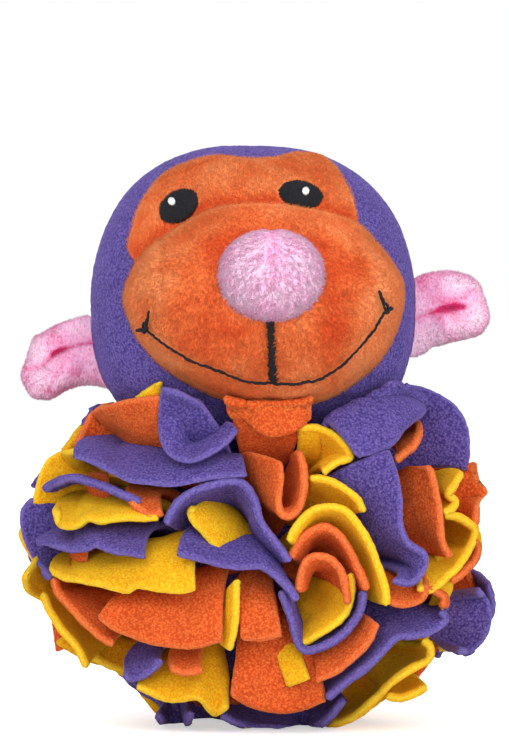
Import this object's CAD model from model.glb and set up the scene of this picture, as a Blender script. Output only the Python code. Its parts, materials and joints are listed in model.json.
import json
import math

import bmesh
import bpy
import numpy as np
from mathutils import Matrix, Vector, kdtree

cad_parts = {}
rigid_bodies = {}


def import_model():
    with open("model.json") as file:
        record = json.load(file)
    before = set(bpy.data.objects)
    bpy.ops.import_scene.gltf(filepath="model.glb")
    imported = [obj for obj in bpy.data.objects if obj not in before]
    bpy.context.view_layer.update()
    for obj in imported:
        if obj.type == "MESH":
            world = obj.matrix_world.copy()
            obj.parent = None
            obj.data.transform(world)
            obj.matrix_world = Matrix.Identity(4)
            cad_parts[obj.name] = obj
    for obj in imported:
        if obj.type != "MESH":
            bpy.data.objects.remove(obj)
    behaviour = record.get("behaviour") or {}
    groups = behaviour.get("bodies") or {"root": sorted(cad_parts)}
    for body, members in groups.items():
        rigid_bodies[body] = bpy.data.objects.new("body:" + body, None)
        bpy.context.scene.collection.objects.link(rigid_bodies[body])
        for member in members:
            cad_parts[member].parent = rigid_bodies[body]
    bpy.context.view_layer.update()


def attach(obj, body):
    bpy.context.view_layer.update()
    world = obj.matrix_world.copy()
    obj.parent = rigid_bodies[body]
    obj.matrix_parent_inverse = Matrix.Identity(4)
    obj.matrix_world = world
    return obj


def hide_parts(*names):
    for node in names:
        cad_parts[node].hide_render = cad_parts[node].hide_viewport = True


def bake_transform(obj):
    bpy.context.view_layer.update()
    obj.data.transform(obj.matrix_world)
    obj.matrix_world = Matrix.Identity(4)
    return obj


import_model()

# The part's own sizes, in metres

BODY_PLACE = np.array((0.0012, 0.0124, 0.0))
BODY_WIDTH, BODY_DEPTH, BODY_HEIGHT, BODY_UNDERSIDE = 0.142, 0.120, 0.108, 0.058
FLOOR_PRESS, BODY_SQUARENESS, FLOOR_SHARPNESS = 0.0008, 2.6, 24
CORE_SHARE = 0.054 / BODY_WIDTH
STRIP_WIDTH, STRIP_GAP, LEAN_POWER = 0.019, 0.0012, 3
RUFFLE_HEIGHT, RUFFLE_WAVES = 0.0018, ((11, 0, 4), (-6, 5, 10))
BODY_CENTRE = BODY_PLACE + np.array((0, 0, BODY_HEIGHT / 2))
PLAIN_RADIUS = (BODY_WIDTH + BODY_DEPTH + BODY_HEIGHT) / 6
HEAD_HALVES = np.array((0.102, 0.090, 0.096)) / 2
HEAD_MIDDLE = BODY_PLACE + np.array((-0.0028, -0.006, 0.132))
HEAD_SQUARENESS = 2.4
FACE_X = HEAD_MIDDLE[0] + 0.0028
MUZZLE_HALVES = np.array((0.086, 0.072, 0.060)) / 2
MUZZLE_MIDDLE = HEAD_MIDDLE + np.array((0.0025, -0.025, 0.001))
MUZZLE_SQUARENESS = 2.3
NOSE_HALVES = np.array((0.033, 0.027, 0.029)) / 2
NOSE_MIDDLE = HEAD_MIDDLE + np.array((0.0056, -0.059, 0.0095))
HEAD_FORMS = (
    (HEAD_MIDDLE, HEAD_HALVES, HEAD_SQUARENESS),
    (MUZZLE_MIDDLE, MUZZLE_HALVES, MUZZLE_SQUARENESS),
)
NECK_PIVOT = BODY_PLACE + np.array((0, 0, HEAD_MIDDLE[2] - HEAD_HALVES[2]))
NOD = math.radians(4)
CLEARANCE = 0.0003
ROOM_EASE = 0.4
ROOT_LIFT, LYING_LIFT = 0.0006, 0.0011

# Looks

CLOTH = 0.0026
SEED = 7
SWAY, SWAY_SIZE = 0.0007, 0.009
BULK_SHARE, BULK_SIZE = 0.10, 0.004
NUBS, NUB_SIZE, FINE_NUBS, FINE_NUB_SIZE = 0.00011, 0.0012, 0.00012, 0.0007
FLOOR_ROOM = 0.0003
RIM_SHARE = 0.4
END_ROWS, END_COLUMNS, CORE_ROWS, FOLD_ROWS = 58, 34, 14, 50
EDGE_STEP, FEWEST_COLUMNS = 0.00055, 9

FRONT_LAYERS = {
    "a": (7, 21), "m": (13, 26), "b": (21, 33), "c": (33, 35), "d": (46, 30), "e": (59, 22),
    "f": (74, 13),
}
BACK_LAYERS = {"c": (16, 34), "d": (40, 31), "e": (60, 20), "f": (75, 11)}

# The photograph's frame: the place its middle shows, the length of its step and the camera's distance

FRAME_MIDDLE = np.array((-0.0011, -0.030, 0.1126))
FRAME_STEP = 0.308e-3
FRAME_WIDTH, FRAME_HEIGHT = 509, 739
CAMERA_DISTANCE = 1.5
CAMERA_LIFT = math.radians(1)

# Each strip as the part has it: layer, azimuths, colour, then shares of width, tip and slant

FRONT_STRIPS = (
    ("a", (140, 192), "purple", 1.0, 1.00, 0.02),
    ("a", (283,), "purple", 0.7, 0.95, 0.00),
    ("a", (317,), "yellow", 0.8, 1.00, 0.00),
    ("a", (356,), "orange", 0.9, 0.97, 0.00),
    ("m", (88,), "orange", 1.1, 1.05, 0.00),
    ("m", (119,), "purple", 1.1, 1.09, 0.03),
    ("b", (55,), "yellow", 0.8, 0.98, 0.00),
    ("b", (12,), "yellow", 1.1, 0.98, 0.03),
    ("b", (158,), "yellow", 0.8, 0.93, 0.00),
    ("b", (296,), "yellow", 0.7, 1.00, 0.00),
    ("c", (42,), "purple", 1.1, 0.93, 0.05),
    ("c", (345,), "orange", 1.0, 0.96, 0.00),
    ("c", (268, 304), "orange", 1.1, 1.00, 0.03),
    ("c", (214,), "orange", 1.3, 1.02, 0.04),
    ("c", (181,), "yellow", 0.9, 1.03, 0.03),
    ("c", (142,), "purple", 0.9, 1.02, 0.02),
    ("c", (77,), "yellow", 0.9, 0.90, 0.00),
    ("d", (22,), "orange", 1.0, 1.00, 0.00),
    ("d", (322,), "purple", 1.2, 1.03, 0.02),
    ("d", (236,), "purple", 0.8, 0.96, 0.00),
    ("d", (170,), "purple", 0.9, 1.03, 0.02),
    ("d", (116,), "purple", 1.2, 0.82, 0.00),
    ("d", (94,), "orange", 0.9, 0.78, 0.00),
    ("d", (62,), "purple", 1.2, 0.78, 0.02),
)
OVER_STRIPS = (
    ("e", (8,), "yellow", 1.0, 1.00, 0.00),
    ("e", (304,), "yellow", 1.1, 1.00, 0.02),
    ("e", (268,), "purple", 1.0, 0.99, 0.00),
    ("e", (230,), "yellow", 1.1, 1.00, 0.02),
    ("e", (198,), "orange", 1.0, 1.02, 0.03),
    ("e", (157,), "purple", 0.9, 1.03, 0.02),
    ("e", (130,), "orange", 1.1, 1.03, 0.00),
    ("e", (338,), "purple", 1.1, 1.02, 0.02),
    ("f", (27,), "orange", 0.9, 0.98, 0.00),
    ("f", (47,), "purple", 1.2, 1.03, 0.03),
    ("f", (353,), "orange", 0.9, 0.97, 0.00),
    ("f", (322,), "orange", 1.0, 0.97, 0.00),
    ("f", (286,), "yellow", 1.0, 0.98, 0.00),
    ("f", (249,), "purple", 1.1, 0.98, 0.00),
    ("f", (213,), "yellow", 1.1, 1.00, 0.00),
    ("f", (177,), "purple", 1.1, 1.04, 0.02),
    ("f", (145,), "yellow", 1.0, 1.03, 0.00),
)
BACK_STRIPS = (
    ("c", (20, 140, 260), "yellow", 1.2, 1.00, 0.02),
    ("d", (250, 300, 350), "orange", 1.2, 1.00, 0.02),
    ("d", (150, 200), "purple", 1.2, 1.00, 0.02),
)


# Numbers

OPEN_STEPS, CLOSED_STEPS = 16, 24


def eased(value):
    value = np.clip(value, 0, 1)
    return value * value * (3 - 2 * value)


def unit(vectors):
    return vectors / np.maximum(np.linalg.norm(vectors, axis=-1, keepdims=True), 1e-12)


def lattice(cells, seed):
    """A repeatable value from 0 to 1 for each whole-numbered cell."""
    mixed = cells[..., 0] * 73856093 ^ cells[..., 1] * 19349663 ^ cells[..., 2] * 83492791
    mixed = (mixed ^ (seed * 2654435761)) & 0x7FFFFFFF
    mixed = (mixed * 1103515245 + 12345) & 0x7FFFFFFF
    mixed = ((mixed >> 13) ^ mixed) * 1274126177 & 0x7FFFFFFF
    return (mixed & 0xFFFFFF) / 0xFFFFFF


def noise(points, size, seed):
    """Smooth noise from -1 to 1, with features about this size."""
    scaled = points / size
    cell = np.floor(scaled).astype(np.int64)
    part = eased(scaled - cell)
    total = np.zeros(points.shape[:-1])
    for corner in np.ndindex(2, 2, 2):
        weight = np.prod(np.where(corner, part, 1 - part), axis=-1)
        total += weight * lattice(cell + np.array(corner), seed)
    return total * 2 - 1


def superellipsoid(direction, halves, squareness):
    total = (np.abs(direction / halves) ** squareness).sum(-1)
    return total ** (-1 / squareness)


def seen(across, down, y):
    """The real X and Z of what the photograph shows at a place, for a given depth."""
    scale = FRAME_STEP * (1 + (y - FRAME_MIDDLE[1]) / CAMERA_DISTANCE)
    rise = (y - FRAME_MIDDLE[1]) * math.sin(CAMERA_LIFT)
    x = FRAME_MIDDLE[0] + (across - FRAME_WIDTH / 2) * scale
    return x, FRAME_MIDDLE[2] + (FRAME_HEIGHT / 2 - down) * scale - rise


def direction_at(polar, azimuth):
    """Ways out from the ball's middle, by the angle from its front pole and the turn round it."""
    ring = np.sin(polar)
    forward = -np.cos(polar) * np.ones_like(azimuth)
    return np.stack((ring * np.cos(azimuth), forward, ring * np.sin(azimuth)), -1)


def spline(before, first, last, beyond, t):
    """A smooth curve from first to last that heeds the places before and beyond them."""
    return 0.5 * (
        2 * first + (last - before) * t + (2 * before - 5 * first + 4 * last - beyond) * t**2
        + (3 * first - before - 3 * last + beyond) * t**3
    )


def even_steps(line, count):
    step = np.linalg.norm(np.diff(line, axis=0), axis=1)
    along = np.concatenate(((0,), np.cumsum(step)))
    wanted = np.linspace(0, along[-1], count)
    return np.stack([np.interp(wanted, along, line[:, k]) for k in range(line.shape[1])], -1)


def open_curve(points, count):
    """A smooth open line through points, evenly stepped."""
    points = np.asarray(points, float)
    padded = np.concatenate((2 * points[:1] - points[1:2], points, 2 * points[-1:] - points[-2:-1]))
    t = np.linspace(0, 1, OPEN_STEPS, endpoint=False)[:, None]
    line = [spline(*padded[k:k + 4], t) for k in range(len(points) - 1)]
    return even_steps(np.concatenate(line + [points[-1:]]), count)


def closed_curve(points, count):
    """A smooth closed line through points, evenly stepped."""
    points = np.asarray(points, float)
    t = np.linspace(0, 1, CLOSED_STEPS, endpoint=False)[:, None, None]
    line = spline(np.roll(points, 1, 0), points, np.roll(points, -1, 0), np.roll(points, -2, 0), t)
    line = line.transpose(1, 0, 2).reshape(-1, points.shape[1])
    return even_steps(np.concatenate((line, line[:1])), count + 1)[:-1]


def path_length(points):
    return np.linalg.norm(np.diff(np.asarray(points, float), axis=0), axis=1).sum()


def nubs(points, seed):
    """How far the curly surface of fleece stands out."""
    return NUBS * noise(points, NUB_SIZE, seed) + FINE_NUBS * noise(points, FINE_NUB_SIZE, seed + 2)


# The body's map, as in the part

def body_radius(direction):
    below = direction[..., 2] < 0
    halves = np.broadcast_to(np.array((BODY_WIDTH, BODY_DEPTH, BODY_HEIGHT)) / 2, direction.shape).copy()
    halves[..., 2] = np.where(below, BODY_UNDERSIDE, BODY_HEIGHT / 2)
    free = superellipsoid(direction, halves, BODY_SQUARENESS)
    down = np.where(below, -direction[..., 2], 1e-9)
    ratio = np.where(below, free * down / (BODY_CENTRE[2] + FLOOR_PRESS), 0)
    return free * (1 + ratio**FLOOR_SHARPNESS) ** (-1 / FLOOR_SHARPNESS)


def inside_head(points):
    """Which points the head or muzzle takes up, with room for the nod."""
    away = points - NECK_PIVOT
    swell = CLEARANCE + math.sin(NOD) * np.hypot(away[..., 0], away[..., 1])
    inside = np.zeros(points.shape[:-1], bool)
    for middle, halves, power in HEAD_FORMS:
        sizes = halves + swell[..., None]
        inside |= (np.abs((points - middle) / sizes) ** power).sum(-1) < 1
    return inside


def pressed_radius(direction):
    """The ball's radius, drawn in where the head presses into its top."""
    free = body_radius(direction)
    hit = (direction[..., 2] > 0) & inside_head(BODY_CENTRE + direction * free[..., None])
    clear, blocked = CORE_SHARE * free, free.copy()
    for _ in range(16):
        half = (clear + blocked) / 2
        inner = inside_head(BODY_CENTRE + direction * half[..., None])
        blocked = np.where(inner, half, blocked)
        clear = np.where(inner, clear, half)
    return np.where(hit, clear, free)


def to_body(points):
    """Points of the plain sphere, moved to where they lie in the ball."""
    length = np.linalg.norm(points, axis=-1)
    direction = points / length[..., None]
    core = CORE_SHARE * body_radius(direction)
    way = (length / PLAIN_RADIUS - CORE_SHARE) / (1 - CORE_SHARE)
    wave = sum(np.sin(direction @ np.array(k, float)) for k in RUFFLE_WAVES) / len(RUFFLE_WAVES)
    reach = core + (pressed_radius(direction) - core) * way + wave * RUFFLE_HEIGHT * way**2
    return BODY_CENTRE + direction * reach[..., None]


# Meshes

def mesh_object(name, points, faces, material, smooth=True):
    mesh = bpy.data.meshes.new(name)
    points = np.asarray(points, float)
    mesh.from_pydata(points.tolist(), [], [list(map(int, face)) for face in faces])
    mesh.update()
    if smooth:
        mesh.shade_smooth()
    mesh.materials.append(material)
    made = bpy.data.objects.new(name, mesh)
    bpy.context.scene.collection.objects.link(made)
    return made


def turned_outward(obj, owner):
    """The object, with the faces of each closed island, told apart by its points' owner, looking outwards."""
    shell = bmesh.new()
    shell.from_mesh(obj.data)
    bmesh.ops.recalc_face_normals(shell, faces=shell.faces)
    volume = np.zeros(max(owner) + 1)
    for face in shell.faces:
        volume[owner[face.verts[0].index]] += face.calc_center_median().dot(face.normal) * face.calc_area()
    inward = [face for face in shell.faces if volume[owner[face.verts[0].index]] < 0]
    bmesh.ops.reverse_faces(shell, faces=inward)
    shell.to_mesh(obj.data)
    shell.free()
    return obj


def stuffed(made, body, node):
    """Declares a stuffed piece: the body it rides on, the node it replaces and its fill."""
    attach(made, body)
    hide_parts(node)


def attribute(obj, name, values):
    found = obj.data.attributes.new(name, "FLOAT", "POINT")
    found.data.foreach_set("value", np.asarray(values, np.float32))


def vertex_normals(points, quads):
    """Normals of a mesh of quads or triangles given as an array."""
    quads = np.asarray(quads)
    a, b, c = points[quads[:, 0]], points[quads[:, 1]], points[quads[:, 2]]
    d = points[quads[:, -1]]
    face = np.cross(c - a, d - b) if quads.shape[1] == 4 else np.cross(b - a, c - a)
    total = np.zeros_like(points)
    for k in range(quads.shape[1]):
        np.add.at(total, quads[:, k], face)
    return unit(total)


# Strips

def azimuths_in(layer, behind):
    rows = OVER_STRIPS + (BACK_STRIPS if behind else FRONT_STRIPS)
    return [azimuth for row in rows if row[0] == layer for azimuth in row[1]]


def room_beside(azimuth, others):
    apart = [abs((other - azimuth + 180) % 360 - 180) for other in others if other != azimuth]
    return math.radians(min(apart) / 2)


DRAW_SPANS = ((0.8, 1.5), (0, 2 * math.pi), (-1.5, 1.5), (-0.10, 0.10), (-1, 1))
SPREAD_SHARE = 0.16


class End:
    """One free end of a strip as the part's formula lays it out in the plain sphere."""

    def __init__(self, layer, azimuth, shares, behind, rng):
        root, lean = (BACK_LAYERS if behind else FRONT_LAYERS)[layer]
        self.root, self.lean = math.radians(root), math.radians(lean)
        self.azimuth, self.behind = math.radians(azimuth), behind
        width, self.tip, self.slant = shares
        self.width = width * STRIP_WIDTH
        lying = layer in ("e", "f")
        self.start = CORE_SHARE + (ROOT_LIFT + lying * LYING_LIFT) / PLAIN_RADIUS
        self.room = room_beside(azimuth, azimuths_in(layer, behind))
        self.root_room = self.room
        if lying:
            self.root_room = room_beside(azimuth, [a for row in OVER_STRIPS for a in row[1]])
        # Five draws a strip: the form uses the second and the fourth
        _, self.phase, _, self.skew, _ = (rng.uniform(*span) for span in DRAW_SPANS)

    def polar(self, way):
        angle = self.root + self.lean * np.maximum(way, 0) ** LEAN_POWER
        return math.pi - angle if self.behind else angle

    def share(self, way):
        return self.start + (1 - self.start) * way

    def half_angle(self, way):
        ring = self.share(way) * PLAIN_RADIUS * np.sin(self.polar(way))
        room = self.root_room + (self.room - self.root_room) * eased(way / ROOM_EASE)
        wide = 1 + SPREAD_SHARE * eased((way - 0.3) / 0.4)
        return np.minimum(self.width / 2, room * ring * wide - STRIP_GAP / 2 * (2 - wide)) / ring

    def middle(self, row, side):
        """The middle surface in the plain sphere."""
        way = row * self.tip * (1 + (self.slant + self.skew * 0.5) * side * row)
        direction = direction_at(self.polar(way), self.azimuth + side * self.half_angle(way))
        return direction * (self.share(way) * PLAIN_RADIUS)[..., None]


# Each front end as the photograph shows it, in its steps: the near edge, then the line where the
# cloth dives under its neighbours. A strip may show more than one tongue.

TRACED = {
    1: (
        (((166, 524), (175, 508), (189, 493), (211, 484), (235, 481), (248, 486), (257, 500), (262, 519),
          (273, 538), (289, 563)),
         ((172, 528), (181, 514), (194, 503), (213, 495), (233, 491), (243, 497), (251, 510), (256, 526),
          (267, 543), (283, 562))),
        (((177, 555), (196, 561), (220, 566), (240, 569), (262, 569), (277, 579), (290, 594), (297, 603)),
         ((186, 530), (202, 535), (220, 538), (240, 541), (258, 546), (270, 557), (280, 572), (287, 584))),
    ),
    2: (
        (((280, 590), (287, 615), (297, 645), (308, 652), (328, 645), (347, 632), (360, 612), (364, 590)),
         ((288, 590), (294, 612), (302, 630), (310, 638), (326, 632), (341, 621), (351, 607), (356, 590))),
    ),
    3: (
        (((352, 572), (352, 592), (348, 612), (335, 627), (318, 637), (300, 647)),
         ((334, 580), (332, 594), (327, 605), (318, 611), (310, 617), (302, 626))),
        (((194, 508), (188, 514), (191, 523), (201, 534), (212, 547), (222, 561)),
         ((205, 502), (213, 503), (221, 510), (230, 520), (238, 531), (246, 543))),
    ),
    4: (
        (((297, 592), (299, 572), (305, 559), (316, 554), (330, 557), (341, 569), (347, 586), (349, 604)),
         ((304, 592), (307, 577), (312, 568), (320, 565), (329, 568), (336, 578), (340, 590), (342, 603))),
        (((291, 558), (299, 538), (312, 527), (328, 525), (342, 535), (353, 552), (361, 571), (368, 590)),
         ((300, 565), (306, 550), (316, 541), (328, 540), (338, 549), (346, 562), (352, 578), (357, 592))),
    ),
    5: (
        (((283, 462), (284, 480), (280, 500), (282, 515), (291, 519), (300, 509), (304, 490), (303, 470),
          (300, 452)),
         ((240, 452), (249, 466), (259, 488), (271, 508), (288, 512), (294, 502), (297, 487), (297, 469),
          (294, 454))),
    ),
    6: (
        (((239, 431), (226, 445), (210, 456), (191, 463), (173, 458), (161, 444), (158, 420), (161, 388)),
         ((226, 422), (216, 433), (206, 441), (198, 443), (194, 436), (198, 422), (204, 408), (207, 390))),
    ),
    7: (
        (((309, 476), (325, 477), (342, 486), (357, 499), (364, 513)),
         ((306, 490), (317, 493), (329, 499), (341, 507), (350, 516))),
    ),
    8: (
        (((287, 541), (297, 523), (313, 508), (333, 506), (350, 514), (364, 532), (375, 555), (382, 580),
          (386, 606)),
         ((293, 549), (301, 535), (314, 521), (331, 519), (345, 527), (357, 543), (366, 562), (372, 582),
          (376, 602))),
    ),
    9: (
        (((57, 510), (59, 528), (72, 529), (88, 520), (103, 524), (125, 520), (160, 519)),
         ((66, 502), (74, 494), (86, 492), (98, 495), (112, 498), (130, 500), (156, 502))),
    ),
    10: (
        (((287, 688), (298, 684), (310, 679)),
         ((272, 644), (285, 640), (299, 644))),
    ),
    11: (
        (((389, 449), (397, 470), (402, 500), (401, 528), (408, 546), (426, 556), (425, 570), (410, 583),
          (392, 580)),
         ((331, 474), (346, 484), (363, 499), (375, 519), (385, 538), (398, 552), (408, 562), (404, 570),
          (394, 570))),
    ),
    12: (
        (((386, 600), (398, 607), (412, 607), (422, 600), (425, 585)),
         ((378, 582), (390, 578), (402, 574), (412, 570), (418, 562))),
    ),
    13: (
        (((230, 697), (250, 708), (278, 714), (304, 711), (326, 702)),
         ((236, 652), (252, 646), (275, 643), (298, 647), (318, 654))),
        (((316, 684), (335, 674), (355, 658), (370, 642), (379, 624)),
         ((313, 652), (327, 646), (341, 636), (353, 625), (362, 612))),
        (((241, 641), (260, 642), (282, 637)),
         ((238, 592), (256, 587), (275, 590))),
    ),
    14: (
        (((97, 618), (112, 630), (127, 637), (150, 645), (172, 649), (195, 649), (222, 642)),
         ((122, 592), (135, 594), (150, 595), (170, 595), (190, 592), (208, 588), (226, 580))),
        (((171, 669), (186, 675), (204, 672)), ((170, 651), (186, 651), (203, 651))),
    ),
    15: (
        (((51, 574), (68, 581), (92, 586), (125, 594), (137, 589), (156, 592), (180, 594), (195, 590)),
         ((60, 557), (75, 554), (95, 554), (120, 555), (140, 551), (160, 547), (180, 543), (200, 538))),
    ),
    16: (
        (((73, 458), (89, 461), (109, 472), (128, 482), (148, 485), (173, 486), (195, 482), (219, 477),
          (247, 474)),
         ((92, 440), (105, 439), (125, 440), (145, 444), (165, 450), (185, 454), (205, 456), (225, 456),
          (243, 458))),
    ),
    17: (
        (((298, 426), (320, 427), (341, 439), (352, 457), (337, 463), (322, 473)),
         ((292, 448), (305, 450), (318, 453), (326, 459), (322, 465), (315, 469))),
    ),
    18: (
        (((450, 559), (443, 540), (442, 515), (438, 495), (433, 476), (426, 467)),
         ((430, 553), (420, 540), (409, 520), (404, 500), (402, 482), (405, 470))),
        (((395, 463), (403, 455), (414, 446), (419, 436), (417, 425)),
         ((388, 446), (394, 441), (401, 436), (407, 430), (409, 422))),
    ),
    19: (
        (((327, 700), (342, 689), (358, 675), (374, 661), (388, 647), (400, 638), (416, 638), (432, 635),
          (446, 622), (440, 611)),
         ((321, 689), (334, 677), (349, 663), (363, 649), (375, 636), (387, 625), (401, 615), (414, 610),
          (427, 608), (435, 607))),
    ),
    20: (
        (((124, 676), (131, 682), (143, 678), (153, 670), (162, 660)),
         ((130, 656), (137, 653), (146, 651), (155, 650), (163, 650))),
    ),
    21: (
        (((40, 545), (60, 548), (73, 552), (87, 550), (97, 546), (116, 553), (146, 560)),
         ((47, 538), (65, 530), (80, 526), (95, 524), (110, 525), (130, 528), (153, 530))),
    ),
    23: (
        (((226, 410), (231, 420), (242, 419), (252, 427), (268, 438), (289, 436), (301, 428), (311, 418)),
         ((228, 392), (236, 394), (247, 396), (258, 397), (272, 397), (286, 396), (297, 394), (308, 391))),
    ),
    24: (
        (((357, 458), (389, 449), (407, 429), (424, 415), (428, 401), (413, 397), (396, 392)),
         ((318, 420), (328, 411), (340, 404), (351, 398), (361, 393), (371, 388), (380, 383))),
    ),
    25: (
        (((417, 588), (432, 591), (450, 577), (465, 558), (474, 541), (475, 528), (463, 520), (444, 515)),
         ((407, 570), (417, 567), (428, 560), (437, 550), (444, 540), (446, 531), (442, 522), (435, 516))),
        (((464, 474), (456, 486), (448, 496), (456, 502), (452, 509), (443, 514)),
         ((440, 470), (436, 480), (433, 490), (433, 498), (432, 506), (430, 514))),
    ),
    26: (
        (((318, 729), (345, 722), (362, 712), (378, 698), (393, 682), (412, 670), (429, 660), (430, 647),
          (422, 639)),
         ((336, 710), (348, 703), (360, 695), (372, 684), (383, 672), (396, 661), (407, 652), (411, 646),
          (408, 641))),
        (((385, 698), (400, 699), (414, 694), (427, 686)),
         ((384, 686), (394, 682), (404, 678), (414, 674))),
    ),
    27: (
        (((220, 716), (235, 724), (255, 729), (280, 728), (300, 730), (317, 727), (334, 713), (344, 700)),
         ((226, 699), (240, 705), (258, 709), (280, 711), (300, 708), (312, 704), (325, 698), (337, 690))),
    ),
    28: (
        (((137, 686), (150, 694), (165, 702), (182, 703), (198, 702), (208, 714), (218, 717), (227, 708)),
         ((150, 666), (160, 665), (172, 665), (186, 665), (200, 665), (212, 668), (220, 672), (228, 677))),
        (((239, 578), (238, 605), (235, 630), (229, 651)),
         ((229, 588), (228, 608), (226, 626), (223, 640))),
    ),
    29: (
        (((52, 578), (56, 593), (70, 609), (85, 626), (100, 639), (114, 644)),
         ((76, 580), (83, 588), (95, 598), (108, 608), (118, 618), (126, 628))),
    ),
    30: (
        (((47, 493), (55, 485), (73, 479), (93, 483), (116, 491), (132, 499), (141, 504)),
         ((55, 492), (63, 486), (77, 482), (95, 485), (115, 492), (130, 499), (138, 503))),
    ),
    31: (
        (((161, 397), (135, 399), (109, 404), (92, 411), (84, 427), (78, 447)),
         ((172, 428), (150, 432), (130, 435), (115, 441), (108, 452), (101, 463))),
        (((131, 501), (140, 511), (151, 517), (164, 515)), ((128, 487), (138, 489), (150, 491), (164, 491))),
    ),
    32: (
        (((458, 653), (475, 650), (487, 637), (492, 618), (488, 600), (478, 590)),
         ((431, 640), (437, 632), (443, 622), (445, 612), (445, 600), (441, 592))),
    ),
    33: (
        (((476, 526), (478, 505), (488, 492), (478, 480), (474, 463)),
         ((452, 520), (453, 505), (456, 492), (458, 480), (460, 467))),
    ),
    34: (
        (((467, 472), (470, 455), (470, 436), (464, 416), (450, 400), (427, 389), (406, 387)),
         ((426, 468), (424, 455), (421, 441), (416, 429), (408, 418), (400, 409), (392, 402))),
    ),
    35: (
        (((450, 582), (462, 573), (474, 561), (479, 549), (474, 540)),
         ((440, 575), (448, 568), (456, 560), (460, 550), (460, 542))),
    ),
    36: (
        (((428, 586), (437, 590), (444, 598), (441, 609)), ((422, 592), (429, 597), (434, 602), (433, 609))),
    ),
    37: (
        (((244, 727), (262, 733), (285, 734), (305, 731)),
         ((250, 713), (265, 715), (285, 715), (302, 713))),
    ),
    38: (
        (((157, 716), (168, 725), (188, 728), (191, 712)),
         ((165, 701), (172, 698), (182, 697), (192, 698))),
    ),
    39: (
        (((43, 592), (50, 610), (62, 630), (76, 647), (88, 668)),
         ((62, 600), (72, 613), (84, 626), (95, 638), (103, 650))),
    ),
    40: (
        (((34, 502), (22, 509), (20, 522), (24, 541), (34, 561), (51, 580)),
         ((60, 503), (57, 512), (56, 525), (56, 540), (58, 555), (63, 569))),
    ),
    41: (
        (((84, 449), (62, 451), (47, 460), (38, 480), (32, 503)),
         ((97, 468), (82, 473), (70, 482), (63, 493), (57, 506))),
        (((134, 400), (143, 393), (152, 386), (162, 380)), ((141, 428), (149, 427), (157, 425), (166, 422))),
    ),
}

# Where an edge stands out before the ball's outline or lies back from it, for the near and the far line

DEPTHS = {
    1: (1.02, 0.80), 3: (0.93, 0.72), 4: (0.99, 0.76), 5: (1.02, 0.80), 6: (1.05, 0.84), 7: (0.98, 0.78),
    8: (1.04, 0.82), 10: (0.97, 0.78), 11: (1.06, 0.88), 16: (1.03, 0.82), 14: (1.02, 0.82),
    24: (1.04, 0.86), 34: (0.98, 0.80), 19: (1.03, 0.84), 2: (0.96, 0.74), 17: (1.0, 0.78),
}
NEAR, FAR = 1.0, 0.80

# How much room a strip leaves to the head, and where between root and edge its far line runs

HEAD_GAPS = {
    5: 0.0070, 6: 0.0072, 16: 0.0045, 17: 0.0070, 23: 0.0052, 24: 0.0054, 31: 0.0068, 34: 0.0034, 41: 0.0044,
}
HEAD_GAP, FOLDED_HEAD_GAP = 0.0035, 0.0075
FAR_GAP_LESS, FAR_GAP_MOST, GAP_SLACK = 0.0028, 0.0020, 0.0010
FAR_ROW = 0.62
ROOT_SHARE = CORE_SHARE + 0.02
EDGE_REACH, EDGE_STRETCH = 0.985, 1.12


def seen_at(places, share, more):
    """Where a line seen at these places lies: on the ball at a share of its radius, before the head."""
    direction, stretch = body_direction(places, share)
    points = BODY_CENTRE + direction * (body_radius(direction) * share * stretch)[:, None]
    points[:, 0], points[:, 2] = seen(places[:, 0], places[:, 1], points[:, 1])
    for middle, halves, power in HEAD_FORMS:
        sizes = halves + more
        away = np.abs((points - middle) / sizes)
        rest = 1 - away[:, 0] ** power - away[:, 2] ** power
        front = middle[1] - sizes[1] * np.clip(rest, 0, 1) ** (1 / power)
        points[:, 1] = np.where(rest > 0, np.minimum(points[:, 1], front), points[:, 1])
    points[:, 0], points[:, 2] = seen(places[:, 0], places[:, 1], points[:, 1])
    return points


def clear_of_head(points, more):
    """The points, with any that the head would swallow moved out to its surface."""
    points = points.copy()
    for middle, halves, power in 2 * HEAD_FORMS[::-1]:
        away = points - middle
        total = (np.abs(away / (halves + more)) ** power).sum(-1)
        grow = np.where(total < 1, np.maximum(total, 0.05) ** (-1 / power), 1)
        points = middle + away * grow[..., None]
    return points


def body_direction(places, share):
    """The way from the body's middle to what is seen at these places at a share of its radius."""
    radius = np.full(len(places), 0.062)
    depth = np.full(len(places), BODY_CENTRE[1] - 0.03)
    for _ in range(12):
        x, z = seen(places[:, 0], places[:, 1], depth)
        across, up = x - BODY_CENTRE[0], z - BODY_CENTRE[2]
        x, z = across / (radius * share), up / (radius * share)
        size = np.hypot(x, z)
        hold = np.minimum(size, EDGE_REACH) / np.maximum(size, 1e-9)
        x, z = x * hold, z * hold
        direction = np.stack((x, -np.sqrt(1 - x * x - z * z), z), -1)
        radius = (radius + body_radius(direction)) / 2
        depth = BODY_CENTRE[1] + direction[:, 1] * radius * share
    return direction, np.clip(size / EDGE_REACH, 1, EDGE_STRETCH)


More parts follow.
